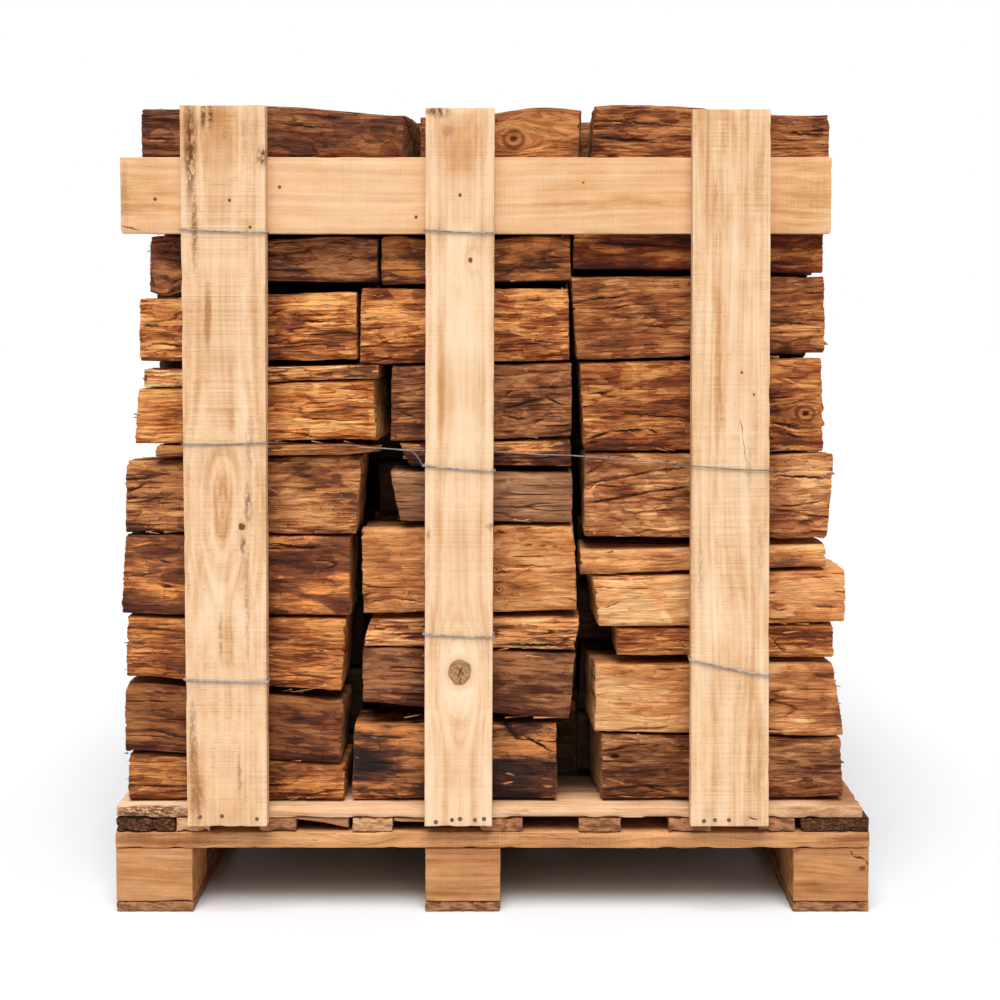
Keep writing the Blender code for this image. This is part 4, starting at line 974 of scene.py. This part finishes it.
# What each upright has of its own, in millimetres up from its foot and across from its left edge.
PINE = {
    "left": {
        "colours": ("#C38C57", "#E7BE94", "#F5DBBA"), "saw": 1.5, "dirt": 0.10, "banded": 0.45,
        "rings": ((160, 60, 60, 20, -8), (700, 50, 150, 22, 12)), "eye": (425, 50, 80, 30),
        "knots": ((396, 74, 5.0),),
        "shades": ((428, 48, 88, 26, -0.22), (240, 56, 110, 10, -0.24), (665, 33, 55, 5, -0.40),
            (560, 62, 60, 6, -0.2), (900, 40, 60, 50, -0.25), (60, 10, 70, 12, -0.3),
            (620, 78, 120, 12, 0.2)),
        "stains": ((885, 13, 80, 8, 1.0), (780, 17, 60, 4, 0.8), (925, 29, 20, 4, 1.0),
            (925, 38, 20, 4, 1.0), (872, 101, 16, 7, 1.0), (900, 57, 5, 4, 0.9), (425, 82, 34, 6, 0.75),
            (372, 75, 14, 4, 0.8), (300, 80, 90, 4, 0.4), (110, 9, 70, 6, 0.6), (40, 14, 34, 9, 0.6),
            (66, 69, 30, 3, 0.55), (500, 84, 40, 6, 0.4), (250, 46, 40, 3, 0.5), (900, 80, 40, 6, 0.25)),
        "cracks": ()},
    "middle": {
        "colours": ("#D09A68", "#EAC69F", "#F5DCBD"), "saw": 0.8, "dirt": 0.05, "banded": 0.55,
        "rings": ((740, 58, 22, 10, 14), (560, 45, 160, 24, 8)), "eye": (205, 46, 56, 24),
        "knots": ((205, 46, 17), (740, 58, 3.4)),
        "shades": ((205, 46, 48, 34, 0.35), (130, 46, 30, 16, -0.2), (600, 20, 110, 8, -0.2),
            (890, 45, 50, 60, -0.2)),
        "stains": ((930, 14, 9, 20, 0.9), (905, 30, 12, 10, 0.4), (395, 86, 6, 8, 0.6),
            (385, 5, 8, 4, 0.5)),
        "cracks": ((196, 43, 212, 49, 0.9), (200, 52, 212, 41, 0.9), (188, 47, 198, 47, 0.7))},
    "right": {
        "colours": ("#C68F5B", "#E6BE93", "#F5DABA"), "saw": 1.5, "dirt": 0.10, "banded": 0.55,
        "rings": ((500, 40, 200, 24, 14), (250, 70, 120, 18, -12)),
        "knots": ((596, 66, 2.0), (567, 82, 1.6)),
        "shades": ((720, 34, 170, 9, -0.18), (560, 36, 90, 7, -0.15), (880, 50, 110, 60, -0.14),
            (100, 80, 130, 12, -0.15), (300, 30, 120, 14, 0.15)),
        "stains": ((10, 80, 14, 16, 0.30), (70, 92, 60, 5, 0.3), (130, 92, 40, 5, 0.3),
            (470, 76, 30, 5, 0.3), (20, 24, 14, 8, 0.15), (340, 12, 60, 4, 0.35), (360, 90, 60, 5, 0.3)),
        "cracks": ((536, 64, 514, 67, 0.6), (514, 67, 475, 72, 0.35), (14, 76, 8, 88, 1.2))},
}


def lean_to(corners):
    """Shears a plank so that its left and right edges meet the four corners it has."""
    foot_left, foot_right, top_left, top_right = corners

    def shape(places, full):
        up = np.clip(places[:, 2] / full[2], 0, 1)
        share = places[:, 0] / full[0]
        left = foot_left + (top_left - foot_left) * up
        right = foot_right + (top_right - foot_right) * up
        places[:, 0] = ((left + (right - left) * share) - foot_left) / MM
        return places
    return shape


# Each face's boards lie between these distances from the middle.
UPRIGHT_FACES = (0.5003, 0.520)
RAIL_FACES = (0.4803, 0.500)
RAIL_SPAN = (-0.482, 0.440)
RAIL_HEIGHTS = (0.897, 0.996)
RAIL_MARKS = {
    "knots": ((600, 66, 1.6),), "cracks": ((0, 10, 26, 4, 1.0),),
    "shades": ((30, 50, 50, 60, -0.3), (880, 50, 75, 70, -0.40), (640, 40, 120, 10, -0.15),
        (640, 50, 160, 70, -0.20)),
    "stains": ((6, 50, 6, 50, 0.4), (470, 50, 30, 4, 0.3)),
}
# The back uprights carry another one's marks, so that no two boards beside each other are alike.
BACK_LOOKS = {"left": "middle", "middle": "right", "right": "left"}

for face, way in (("front", -1), ("back", 1)):
    for side, (*corners, top) in UPRIGHTS.items():
        look = dict(PINE[side if way < 0 else BACK_LOOKS[side]])
        colours, rings, eye = look.pop("colours"), look.pop("rings"), look.pop("eye", None)
        number += 1
        near, far = sorted(way * y for y in UPRIGHT_FACES)
        mesh = board((corners[0], near, UPRIGHT_FOOT), (corners[1], far, top), 100 + number, axes=(2, 0, 1),
                     step=(5.0, 4.6, 5.0), chips=0.9, warp=0.5, fuzz=0.06, rings=rings, eye=eye,
                     shape=lean_to(corners))
        wood = board_wood(f"pine_{face}_{side}", *colours, **look)
        add_piece(f"pine_upright_{face}_{side}", mesh, [wood], [f"upright_{face}_{side}"])
    left, right = sorted(-way * x for x in RAIL_SPAN)
    near, far = sorted(way * y for y in RAIL_FACES)
    mesh = board((left, near, RAIL_HEIGHTS[0]), (right, far, RAIL_HEIGHTS[1]), 130 + number, axes=(0, 2, 1),
                 step=(6.0, 4.6, 5.0), chips=0.8, warp=0.4, fuzz=0.05,
                 rings=((430, 60, 160, 22, 10), (700, 30, 140, 22, -10)))
    wood = board_wood(f"pine_rail_wood_{face}", "#D8A26C", "#E6B98C", "#F0CDA3", saw=0.9, dirt=0.08,
                      **RAIL_MARKS)
    add_piece(f"pine_rail_{face}", mesh, [wood], ["rail_" + face])

# ---------------------------------------------------------------- logs behind the front ones
# The courses behind the front logs, laid on the same levels as the frame's blocks: eight logs deep,
# some of them split once more. The outermost are carved finely, the buried ones coarsely.
# For each column, the heights of the joints between its courses, then its left and right ends.
REAR_STACKS = {
    "left": ((0.1423, 0.200, 0.295, 0.391, 0.501, 0.612, 0.727, 0.830, 0.8945, 1.009, 1.052),
             (-0.465, -0.188)),
    "middle": ((0.1423, 0.258, 0.3925, 0.513, 0.588, 0.728, 0.829, 0.8945, 0.970, 1.046),
               (-0.165, 0.098)),
    "right": ((0.1423, 0.233, 0.332, 0.415, 0.494, 0.611, 0.731, 0.846, 0.9435, 1.054),
              (0.123, 0.447)),
}
LOG_FACE = 0.478
REAR_FACE = 0.360
REAR_LOGS_DEEP = 8
# The foremost logs of the middle and right columns close the gap between the two: how high those at
# the top stand, and where they end.
TOP_FILL = 1.059
COLUMN_GAP = 0.1165
TIE_LEVELS = {"left": (0.295, 0.8945), "middle": (0.3925, 0.588, 0.8945), "right": (0.332,)}


def rear_nodes(levels, rng):
    """The corners between the log ends, as rows of (y, z). The outermost ones stay in line."""
    pitch = (LOG_FACE + REAR_FACE) / REAR_LOGS_DEEP
    rows = []
    for k, level in enumerate(levels):
        row = []
        for j in range(REAR_LOGS_DEEP + 1):
            y, z = -REAR_FACE + j * pitch, level
            if 0 < j < REAR_LOGS_DEEP and 0 < k < len(levels) - 1:
                y += rng.uniform(-0.013, 0.013)
                z += rng.uniform(-0.009, 0.009)
            row.append((y, z))
        rows.append(row)
    return rows


def cell_shape(corners, ends, rng, roundness, shrink=1.2, angles=96):
    """The shape of a log whose section fills a convex cell with its corners in turn, less shrink
    millimetres. The more the roundness, the sharper its corners."""
    points = np.array(corners)
    heart = points.mean(0)
    turns = np.arange(angles) * 2 * math.pi / angles
    away = np.column_stack([np.cos(turns), np.sin(turns)])
    total = np.zeros(angles)
    for start, end in zip(points, np.roll(points, -1, axis=0)):
        side = end - start
        out = np.array((side[1], -side[0])) / np.hypot(*side)
        gap = (start - heart) @ out
        out, gap = out * np.sign(gap), abs(gap) - shrink * MM
        total += (np.clip(away @ out, 1e-6, None) / gap) ** roundness
    radii = total ** (-1 / roundness)
    tilts = rng.uniform(-0.05, 0.05, (2, 2))
    planes = [np.array((x - heart @ tilt, *tilt)) for x, tilt in zip(ends, tilts)]
    return {"hearts": np.array([heart, heart]), "radii": np.array([radii, radii]), "planes": planes}


REAR_COLOURS = (
    ("#512A15", "#7E4B2C", "#AE7347"), ("#6A3C1F", "#9C6038", "#CF8C53"), ("#734023", "#A96A3C", "#DD9A5E"),
    ("#4A2818", "#6F4630", "#9B6D4E"), ("#8A5632", "#BE7F4E", "#E3A973"), ("#5E3821", "#8B5C3D", "#B98560"),
)
rear_woods = [log_wood(f"rear_wood_{i + 1}", *colours) for i, colours in enumerate(REAR_COLOURS)]
# The buried logs get copies of the same woods, with painted shade on the sides that lie inside the stack.
inner_shaded_woods = [log_wood(f"inner_shaded_wood_{i + 1}", *colours, inner_side_shade=0.9) for i, colours in enumerate(REAR_COLOURS)]
back_grid = log_template(around=72, along=52, rings=3)
top_grid = log_template(around=46, along=40, rings=3)
side_grid = log_template(around=32, along=12, rings=4)
buried_grid = log_template(around=20, along=6, rings=1)

for number, (column, (levels, span)) in enumerate(REAR_STACKS.items()):
    nodes = rear_nodes(levels, random.Random(20 + number))
    rng = np.random.default_rng(70 + number)
    outer, inner = [], []
    for k in range(len(levels) - 1):
        roof = k == len(levels) - 2
        for j in range(REAR_LOGS_DEEP):
            foremost, back = j == 0, j == REAR_LOGS_DEEP - 1
            low = [nodes[k][j], nodes[k][j + 1]]
            top = [nodes[k + 1][j + 1], nodes[k + 1][j]]
            if roof:
                rise = rng.uniform(-0.012, 0.008)
                top = [(y, z + rise * (0.4 + 0.6 * rng.random())) for y, z in top]
            if roof and foremost and column != "left":
                top = [(y, TOP_FILL) for y, _ in top]
            # About a third of the thicker logs are split once more, from one corner to the other.
            cells = [low + top]
            if rng.random() < 0.34 and levels[k + 1] - levels[k] > 0.075:
                cells = ([low + [top[0]], [low[0]] + top] if rng.random() < 0.5
                         else [low + [top[1]], [low[1]] + top])
            for cell in cells:
                ends = [span[0] - 0.006 + 0.016 * rng.random(), span[1] + 0.006 - 0.016 * rng.random()]
                if foremost and column == "right" and roof:
                    ends[0] = COLUMN_GAP
                if foremost and column == "middle" and k < 2:
                    ends[1] = COLUMN_GAP
                hidden = buried_grid if column == "middle" else side_grid
                grid = back_grid if back else top_grid if roof else hidden
                look = (rng.uniform(0.3, 1.0), rng.uniform(0.7, 1.4), rng.uniform(6, 9))
                towards = (1, 0) if back else (0, 1) if roof else None
                seed += 1
                shape = cell_shape(cell, ends, rng, rng.uniform(8, 18))
                places, skin, rings = carve(grid, shape, look, seed, towards)
                for height in TIE_LEVELS[column]:
                    # The logs rest on the ties that pass between two courses.
                    near = np.abs(places[:, 2] - height) < 0.003
                    places[near, 2] += np.where(places[near, 2] > height, 1, -1) * 0.0012
                mesh = finished(grid["mesh"].copy(), places, skin=skin, heart=rings)
                (outer if back or roof else inner).append((mesh, int(rng.integers(len(rear_woods)))))
    for part, found, woods in (("outer", outer, rear_woods), ("inner", inner, inner_shaded_woods)):
        add_piece(f"rear_courses_{column}_{part}", join_pieces(found), woods, ["rear_logs_" + column])

# ---------------------------------------------------------------- slab and splinters
# A thin split slab lies between two logs at the left, and slivers and scraps of bark stand off the
# fronts and ends of the logs. Each sliver is a flattened, bent cone.
slab_grid = log_template(around=84, along=70, rings=3)
# Half its depth and half its thickness. Its section is a rounded box, and it tapers to the right.
SLAB_HALF = (0.026, 0.0066)
SLAB_ENDS = (-0.4430, -0.1490)
SLAB_MIDDLE = 0.6150
slab_ring = np.arange(96) * 2 * math.pi / 96
slab_radius = ((np.abs(np.cos(slab_ring)) / SLAB_HALF[0]) ** 6
               + (np.abs(np.sin(slab_ring)) / SLAB_HALF[1]) ** 6) ** (-1 / 6)
slab = {"hearts": np.array([(-0.459, 0.6115), (-0.459, 0.6145)]),
        "radii": np.array([slab_radius, slab_radius * 0.94]),
        "planes": [np.array((x, 0.0, 0.0)) for x in SLAB_ENDS]}
places, skin, rings = carve(slab_grid, slab, (0.9, 0.5, 4), 57)
# It thins to a ragged edge at its right end.
thin = 1 - 0.55 * ease(-0.20, -0.15, places[:, 0])
places[:, 2] = SLAB_MIDDLE + (places[:, 2] - SLAB_MIDDLE) * thin
mesh = finished(slab_grid["mesh"].copy(), places, skin=skin, heart=rings)
slab_wood = log_wood("thin_slab_wood", "#5E3016", "#A0602F", "#D08C4C", 0.7)
add_piece("thin_slab", mesh, [slab_wood], ())


def sliver(bm, place, long, wide, thick, turn, lift):
    """A flattened cone lying along the log, its point turned up and lifted off the face."""
    made = bmesh.ops.create_cone(bm, cap_ends=True, segments=6, radius1=0.5, radius2=0.06, depth=1)["verts"]
    for v in made:
        share = v.co.z + 0.5
        v.co = Vector((share * long, v.co.y * thick - lift * share ** 2,
                       v.co.x * wide + 0.12 * wide * math.sin(share * 5)))
    bmesh.ops.transform(bm, matrix=Matrix.Translation(place) @ Matrix.Rotation(turn, 4, "Y"), verts=made)


rng = np.random.default_rng(11)
bm = bmesh.new()
for column, looks in FRONT_LOOKS.items():
    for number in range(1, len(looks)):
        low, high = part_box(f"log_{column}_{number:02d}")
        for _ in range(11):
            # Along the top or the foot of the log's face, or now and then on its end.
            edge = int(rng.choice((0, 1, 0, 1, 2)))
            if edge < 2:
                x = rng.uniform(low.x + 0.02, high.x - 0.04)
                z = (low.z + 0.004, high.z - 0.009)[edge]
            else:
                x = high.x - 0.010 if column == "right" else low.x + 0.004
                z = rng.uniform(low.z + 0.01, high.z - 0.01)
            long = rng.uniform(0.008, 0.034) * (1 if edge < 2 else 0.22)
            turn = rng.uniform(-0.22, 0.22)
            turned = rng.random() < 0.5 if edge < 2 else column == "left"
            sliver(bm, Vector((x, -0.4795, z)), long, rng.uniform(0.0012, 0.0034),
                   rng.uniform(0.0008, 0.0016), turn + math.pi * turned, rng.uniform(0.0, 0.004))
# The scraps of bark that stick out at the right.
for x, z, long, wide, turn in ((0.430, 0.757, 0.014, 0.012, 0.2), (0.432, 0.672, 0.007, 0.034, 0.1),
                               (0.434, 0.650, 0.006, 0.020, 0.0), (0.440, 0.560, 0.010, 0.030, 0.1),
                               (0.444, 0.410, 0.012, 0.006, -0.2), (0.462, 0.196, 0.010, 0.008, 0.3),
                               (0.464, 0.165, 0.008, 0.012, -0.2), (-0.452, 0.800, -0.012, 0.006, 0.1)):
    sliver(bm, Vector((x, -0.470, z)), long, wide, 0.003, turn, 0.001)
bmesh.ops.recalc_face_normals(bm, faces=bm.faces)
mesh = made_mesh(bm, "slivers")
material, tree, shader = new_material("sliver_wood")
coords = add(tree, "TexCoord", out=3)
colour = add(tree, "ValToRGB", mottle(coords, (30, 9, 4), 2, 0.5),
             stops=((0.35, "#5E341A"), (0.5, "#9F6438"), (0.65, "#C98F58")))
feed(shader, colour=colour, roughness=0.8, specular=0.3,
     relief=(0.5, 0.6, mottle(coords, (9, 1, 1), 2, 0.5)))
add_piece("slivers", mesh, [material], ())

# ---------------------------------------------------------------- wires
# Galvanised wire: each tie is two strands wound together, pulled round a front upright, through
# the load and round the back one. The girth is a single strand whose ends are twisted together.
# How far a wire's middle stands off the wood it lies on, and the radius of each strand.
WIRE_OFF = 0.0017
TIE_RADIUS = 0.00075
GIRTH_RADIUS = 0.00095
# For each tie, its upright, its heights at the upright's left and right edges and inside the load.
TIES = {
    "tie_left_low": ("left", 0.317, 0.314, 0.295), "tie_left_top": ("left", 0.902, 0.898, 0.8945),
    "tie_middle_low": ("middle", 0.377, 0.373, 0.3925), "tie_middle_half": ("middle", 0.597, 0.590, 0.588),
    "tie_middle_top": ("middle", 0.901, 0.897, 0.8945), "tie_right_low": ("right", 0.343, 0.322, 0.332),
}


def galvanised(name, bright=1.0):
    """Wire dipped in zinc: a dull grey metal that has lost its shine, mottled along its length."""
    material, tree, shader = new_material(name)
    coords = add(tree, "TexCoord", out=3)
    bloom = mottle(coords, (5, 5, 5), 3, 0.6)
    colour = add(tree, "ValToRGB", bloom, stops=((0.3, tint("#76706A", bright)),
                                                 (0.55, tint("#A29C95", bright)),
                                                 (0.75, tint("#CBC5BE", bright))))
    feed(shader, colour=colour, roughness=bloom * 0.4 + 0.35, metallic=0.35, relief=(0.3, 0.2, bloom))
    return material


def upright_edge(side, at, height):
    """Where the left (0) or right (1) edge of an upright is at a height."""
    foot_left, foot_right, top_left, top_right, top = UPRIGHTS[side]
    share = (height - UPRIGHT_FOOT) / (top - UPRIGHT_FOOT)
    return (foot_left, foot_right)[at] * (1 - share) + (top_left, top_right)[at] * share


def round_upright(side, left_height, right_height, way):
    """The wire's points round an upright's outer face, from its left edge to its right one."""
    left, right = upright_edge(side, 0, left_height), upright_edge(side, 1, right_height)
    outer, corner, beside = (way * (UPRIGHT_FACES[1] + off)
                             for off in (WIRE_OFF * 0.85, WIRE_OFF * 0.6, -0.0004))
    across = [(left + (right - left) * t, outer + way * 0.0004 * math.sin(9 * t),
               left_height + (right_height - left_height) * t - 0.0012 * math.sin(math.pi * t))
              for t in (0.04, 0.2, 0.35, 0.5, 0.65, 0.8, 0.96)]
    return ([(left - WIRE_OFF, beside, left_height), (left - WIRE_OFF * 0.7, corner, left_height)] + across
            + [(right + WIRE_OFF * 0.7, corner, right_height), (right + WIRE_OFF, beside, right_height)])


def walk(points, closed, step=1.3, coarse=40):
    """Places along a line of points, step millimetres apart where they show, each with the
    directions across it and the distance travelled."""
    line = [Vector(p) for p in points] + ([Vector(points[0])] if closed else [])
    places = []
    for start, end in zip(line, line[1:]):
        seen = abs(start.y) > 0.465 and abs(end.y - start.y) < 0.1
        count = max(1, round((end - start).length / MM / (step if seen else coarse)))
        places += [start.lerp(end, i / count) for i in range(count)]
    if not closed:
        places.append(line[-1])
    side, travelled, found = None, 0.0, []
    for i, place in enumerate(places):
        last = not closed and i + 1 == len(places)
        ahead = place * 2 - places[i - 1] if last else places[(i + 1) % len(places)]
        behind = places[i - 1] if closed or i else place * 2 - ahead
        way = (ahead - behind).normalized()
        side = way.cross(Vector((0, 0.3, 1))) if side is None else side
        side = (side - way * side.dot(way)).normalized()
        travelled += (place - places[i - 1]).length if i else 0
        found.append((place, side, way.cross(side), travelled))
    return found


def wound_wire(name, points, radius, pitch=0.007, strands=2, closed=True):
    """A curve of strands wound round a line of points."""
    curve = bpy.data.curves.new(name, "CURVE")
    curve.dimensions = "3D"
    curve.bevel_depth = radius
    curve.bevel_resolution = 1
    curve.use_fill_caps = True
    places = walk(points, closed)
    for number in range(strands):
        spline = curve.splines.new("POLY")
        spline.points.add(len(places) - 1)
        spline.use_cyclic_u = closed
        for point, (place, side, other, travelled) in zip(spline.points, places):
            turn = 2 * math.pi * (travelled / pitch + number / strands)
            reach = radius * 0.95 if strands > 1 else 0.0
            point.co = (*(place + (side * math.cos(turn) + other * math.sin(turn)) * reach), 1.0)
    return curve


zinc = galvanised("galvanised_wire")
for node, (side, left_height, right_height, inner_height) in TIES.items():
    middle = sum(UPRIGHTS[side][:4]) / 4
    turn, inside = HALF - WIRE_OFF, LOG_FACE + 0.003
    front = round_upright(side, left_height, right_height, -1)
    back = round_upright(side, left_height, right_height, 1)
    # Behind each upright it runs slanting to the joint between two courses.
    right_way = [(front[-1][0] - 0.0008, -turn, right_height), (middle + 0.020, -inside, inner_height),
                 (middle + 0.020, inside, inner_height), (front[-1][0] - 0.0008, turn, right_height)]
    left_way = [(front[0][0] + 0.0008, turn, left_height), (middle - 0.020, inside, inner_height),
                (middle - 0.020, -inside, inner_height), (front[0][0] + 0.0008, -turn, left_height)]
    wire = wound_wire(node, front + right_way + back[::-1] + left_way, TIE_RADIUS)
    add_piece("wound_" + node, wire, [zinc], [node])


def half_girth(way):
    """The girth along one long side, left to right, over the outer uprights and inside the middle
    one. At the front left it slips between two logs."""
    near = LOG_FACE + (0.0070 if way < 0 else 0.0110)
    if way < 0:
        start = [(-0.4755, -0.2500, 0.6105), (-0.4520, -0.3500, 0.6050), (-0.4250, -0.4300, 0.6050),
                 (-0.4040, -0.4870, 0.6180)]
    else:
        start = [(-0.4755, 0.4770, 0.6100), (-0.4700, 0.4850, 0.6110), (-0.4200, 0.4905, 0.6160)]
    across = [(-0.175, 0.6175), (-0.142, 0.6162), (-0.106, 0.6135), (-0.040, 0.6125), (0.004, 0.6120),
              (0.055, 0.6085), (0.103, 0.6070), (0.170, 0.6020), (0.236, 0.5965)]
    # It runs hidden behind the thin slab at the left.
    hidden = [(x, way * 0.4660, z) for x, z in ((-0.270, 0.6220), (-0.225, 0.6190), (-0.196, 0.6180))]
    return (start + round_upright("left", 0.625, 0.627, way) + hidden
            + [(x, way * near, z) for x, z in across] + round_upright("right", 0.597, 0.591, way)
            + [(0.372, way * 0.4850, 0.5885), (0.380, way * 0.4700, 0.5860), (0.412, way * 0.4660, 0.5800),
               (0.436, way * 0.4700, 0.5817), (0.446, way * 0.4800, 0.5817),
               (0.4525, way * 0.4760, 0.5817)])


girth = wound_wire("girth", half_girth(-1) + half_girth(1)[::-1], GIRTH_RADIUS, strands=1)
dull_zinc = galvanised("dull_wire", 0.62)
add_piece("girth_strand", girth, [dull_zinc], ["girth_wire"])
# The girth's ends are wound round each other beside the middle upright, and one end curls down.
KNOT = ((-0.128, -0.4865, 0.6152), (-0.114, -0.4872, 0.6143), (-0.106, -0.4868, 0.6130),
        (-0.100, -0.4880, 0.6075), (-0.0945, -0.4895, 0.6000), (-0.0910, -0.4905, 0.5925))
knot = wound_wire("girth_end", KNOT, 0.0007, pitch=0.0055, strands=2, closed=False)
add_piece("girth_twisted_end", knot, [dull_zinc], ())

# ---------------------------------------------------------------- nails
# Flat round nail heads in dark steel that has begun to rust, driven until they sit on the face of
# the boards. They hold the uprights to the pallet and the rails to the uprights.
# For the front face of the uprights and of the rail: how far from the middle, then the nails.
NAILS = {
    -0.5200: ((-0.3830, 0.1348), (-0.3541, 0.1362), (-0.3083, 0.1322), (-0.0738, 0.1282), (-0.0528, 0.1309),
              (-0.0423, 0.1322), (-0.0227, 0.1309), (-0.0109, 0.1322), (0.2774, 0.1295), (0.2918, 0.1309),
              (0.3102, 0.1309), (-0.3366, 0.9391), (-0.3106, 0.9046), (-0.0409, 0.9455)),
    -0.5002: ((-0.4367, 0.9418), (-0.2753, 0.9573), (-0.0986, 0.9186)),
}


def rusty(name):
    """A steel nail head that rain has turned brown: rough, with little shine left."""
    material, tree, shader = new_material(name)
    coords = add(tree, "TexCoord", out=3)
    scale = mottle(coords, (1.2, 1.2, 1.2), 2, 0.6)
    colour = add(tree, "ValToRGB", scale, stops=((0.35, "#33251C"), (0.5, "#65503F"), (0.65, "#97806C")))
    feed(shader, colour=colour, roughness=0.7, metallic=0.25, relief=(0.5, 0.3, scale))
    return material


bm = bmesh.new()
for way in (-1, 1):
    for face, spots in NAILS.items():
        for x, z in spots:
            turned = Matrix.Translation((-x * way, -face * way, z)) @ Matrix.Rotation(math.pi / 2, 4, "X")
            # Those at the pallet are the bigger ones.
            size = 0.0029 if z < 0.2 else 0.0023
            made = bmesh.ops.create_cone(bm, cap_ends=True, segments=10, radius1=size, radius2=size,
                                         depth=0.0010, matrix=turned)
            rims = dict.fromkeys(e for v in made["verts"] for e in v.link_edges
                                 if len(e.link_faces) == 2 and e.calc_face_angle(0) > 1)
            bmesh.ops.bevel(bm, geom=list(rims), offset=0.0004, segments=1, profile=0.5, affect="EDGES",
                            material=-1)
bmesh.ops.recalc_face_normals(bm, faces=bm.faces)
add_piece("nail_heads", made_mesh(bm, "nail_heads"), [rusty("rusty_steel")], ())

# ---------------------------------------------------------------- floor and light
# A plain pale floor and white surroundings, with one broad soft light from above the camera and
# a weaker one beside it. Neither is part of the object.
FLOOR_HALF = 30

bm = bmesh.new()
bmesh.ops.create_grid(bm, x_segments=4, y_segments=4, size=FLOOR_HALF)
floor = put("floor", made_mesh(bm, "floor"))
material, tree, shader = new_material("pale_floor")
feed(shader, colour="#DADBDD", roughness=0.9, specular=0.0)
floor.data.materials.append(material)

# The surroundings are white to the camera and light the object from above, less from the sides.
world = bpy.data.worlds.new("studio")
bpy.context.scene.world = world
world.use_nodes = True
tree = world.node_tree
ray = add(tree, "LightPath")
way = add(tree, "SeparateXYZ", add(tree, "TexCoord"))
sky = add(tree, "MapRange", (way[2], 0.0, 0.6, 0.14, 0.42))
background = tree.nodes["Background"].inputs
fill(background["Strength"], add(tree, "Mix", {0: ray, 2: sky, 3: 1.0}, data_type="FLOAT"))
fill(background["Color"], WHITE)


def sun(name, elevation, azimuth, strength, width):
    """A broad light from an elevation and an azimuth, in degrees from the front to the right."""
    obj = put(name, bpy.data.lights.new(name, "SUN"))
    obj.data.energy = strength
    obj.data.angle = math.radians(width)
    obj.rotation_euler = (math.radians(90 - elevation), 0, math.radians(azimuth))


sun("key", 66, -4, 3.3, 38)
sun("fill", 50, 8, 0.6, 30)

bpy.context.scene.view_settings.view_transform = "Standard"
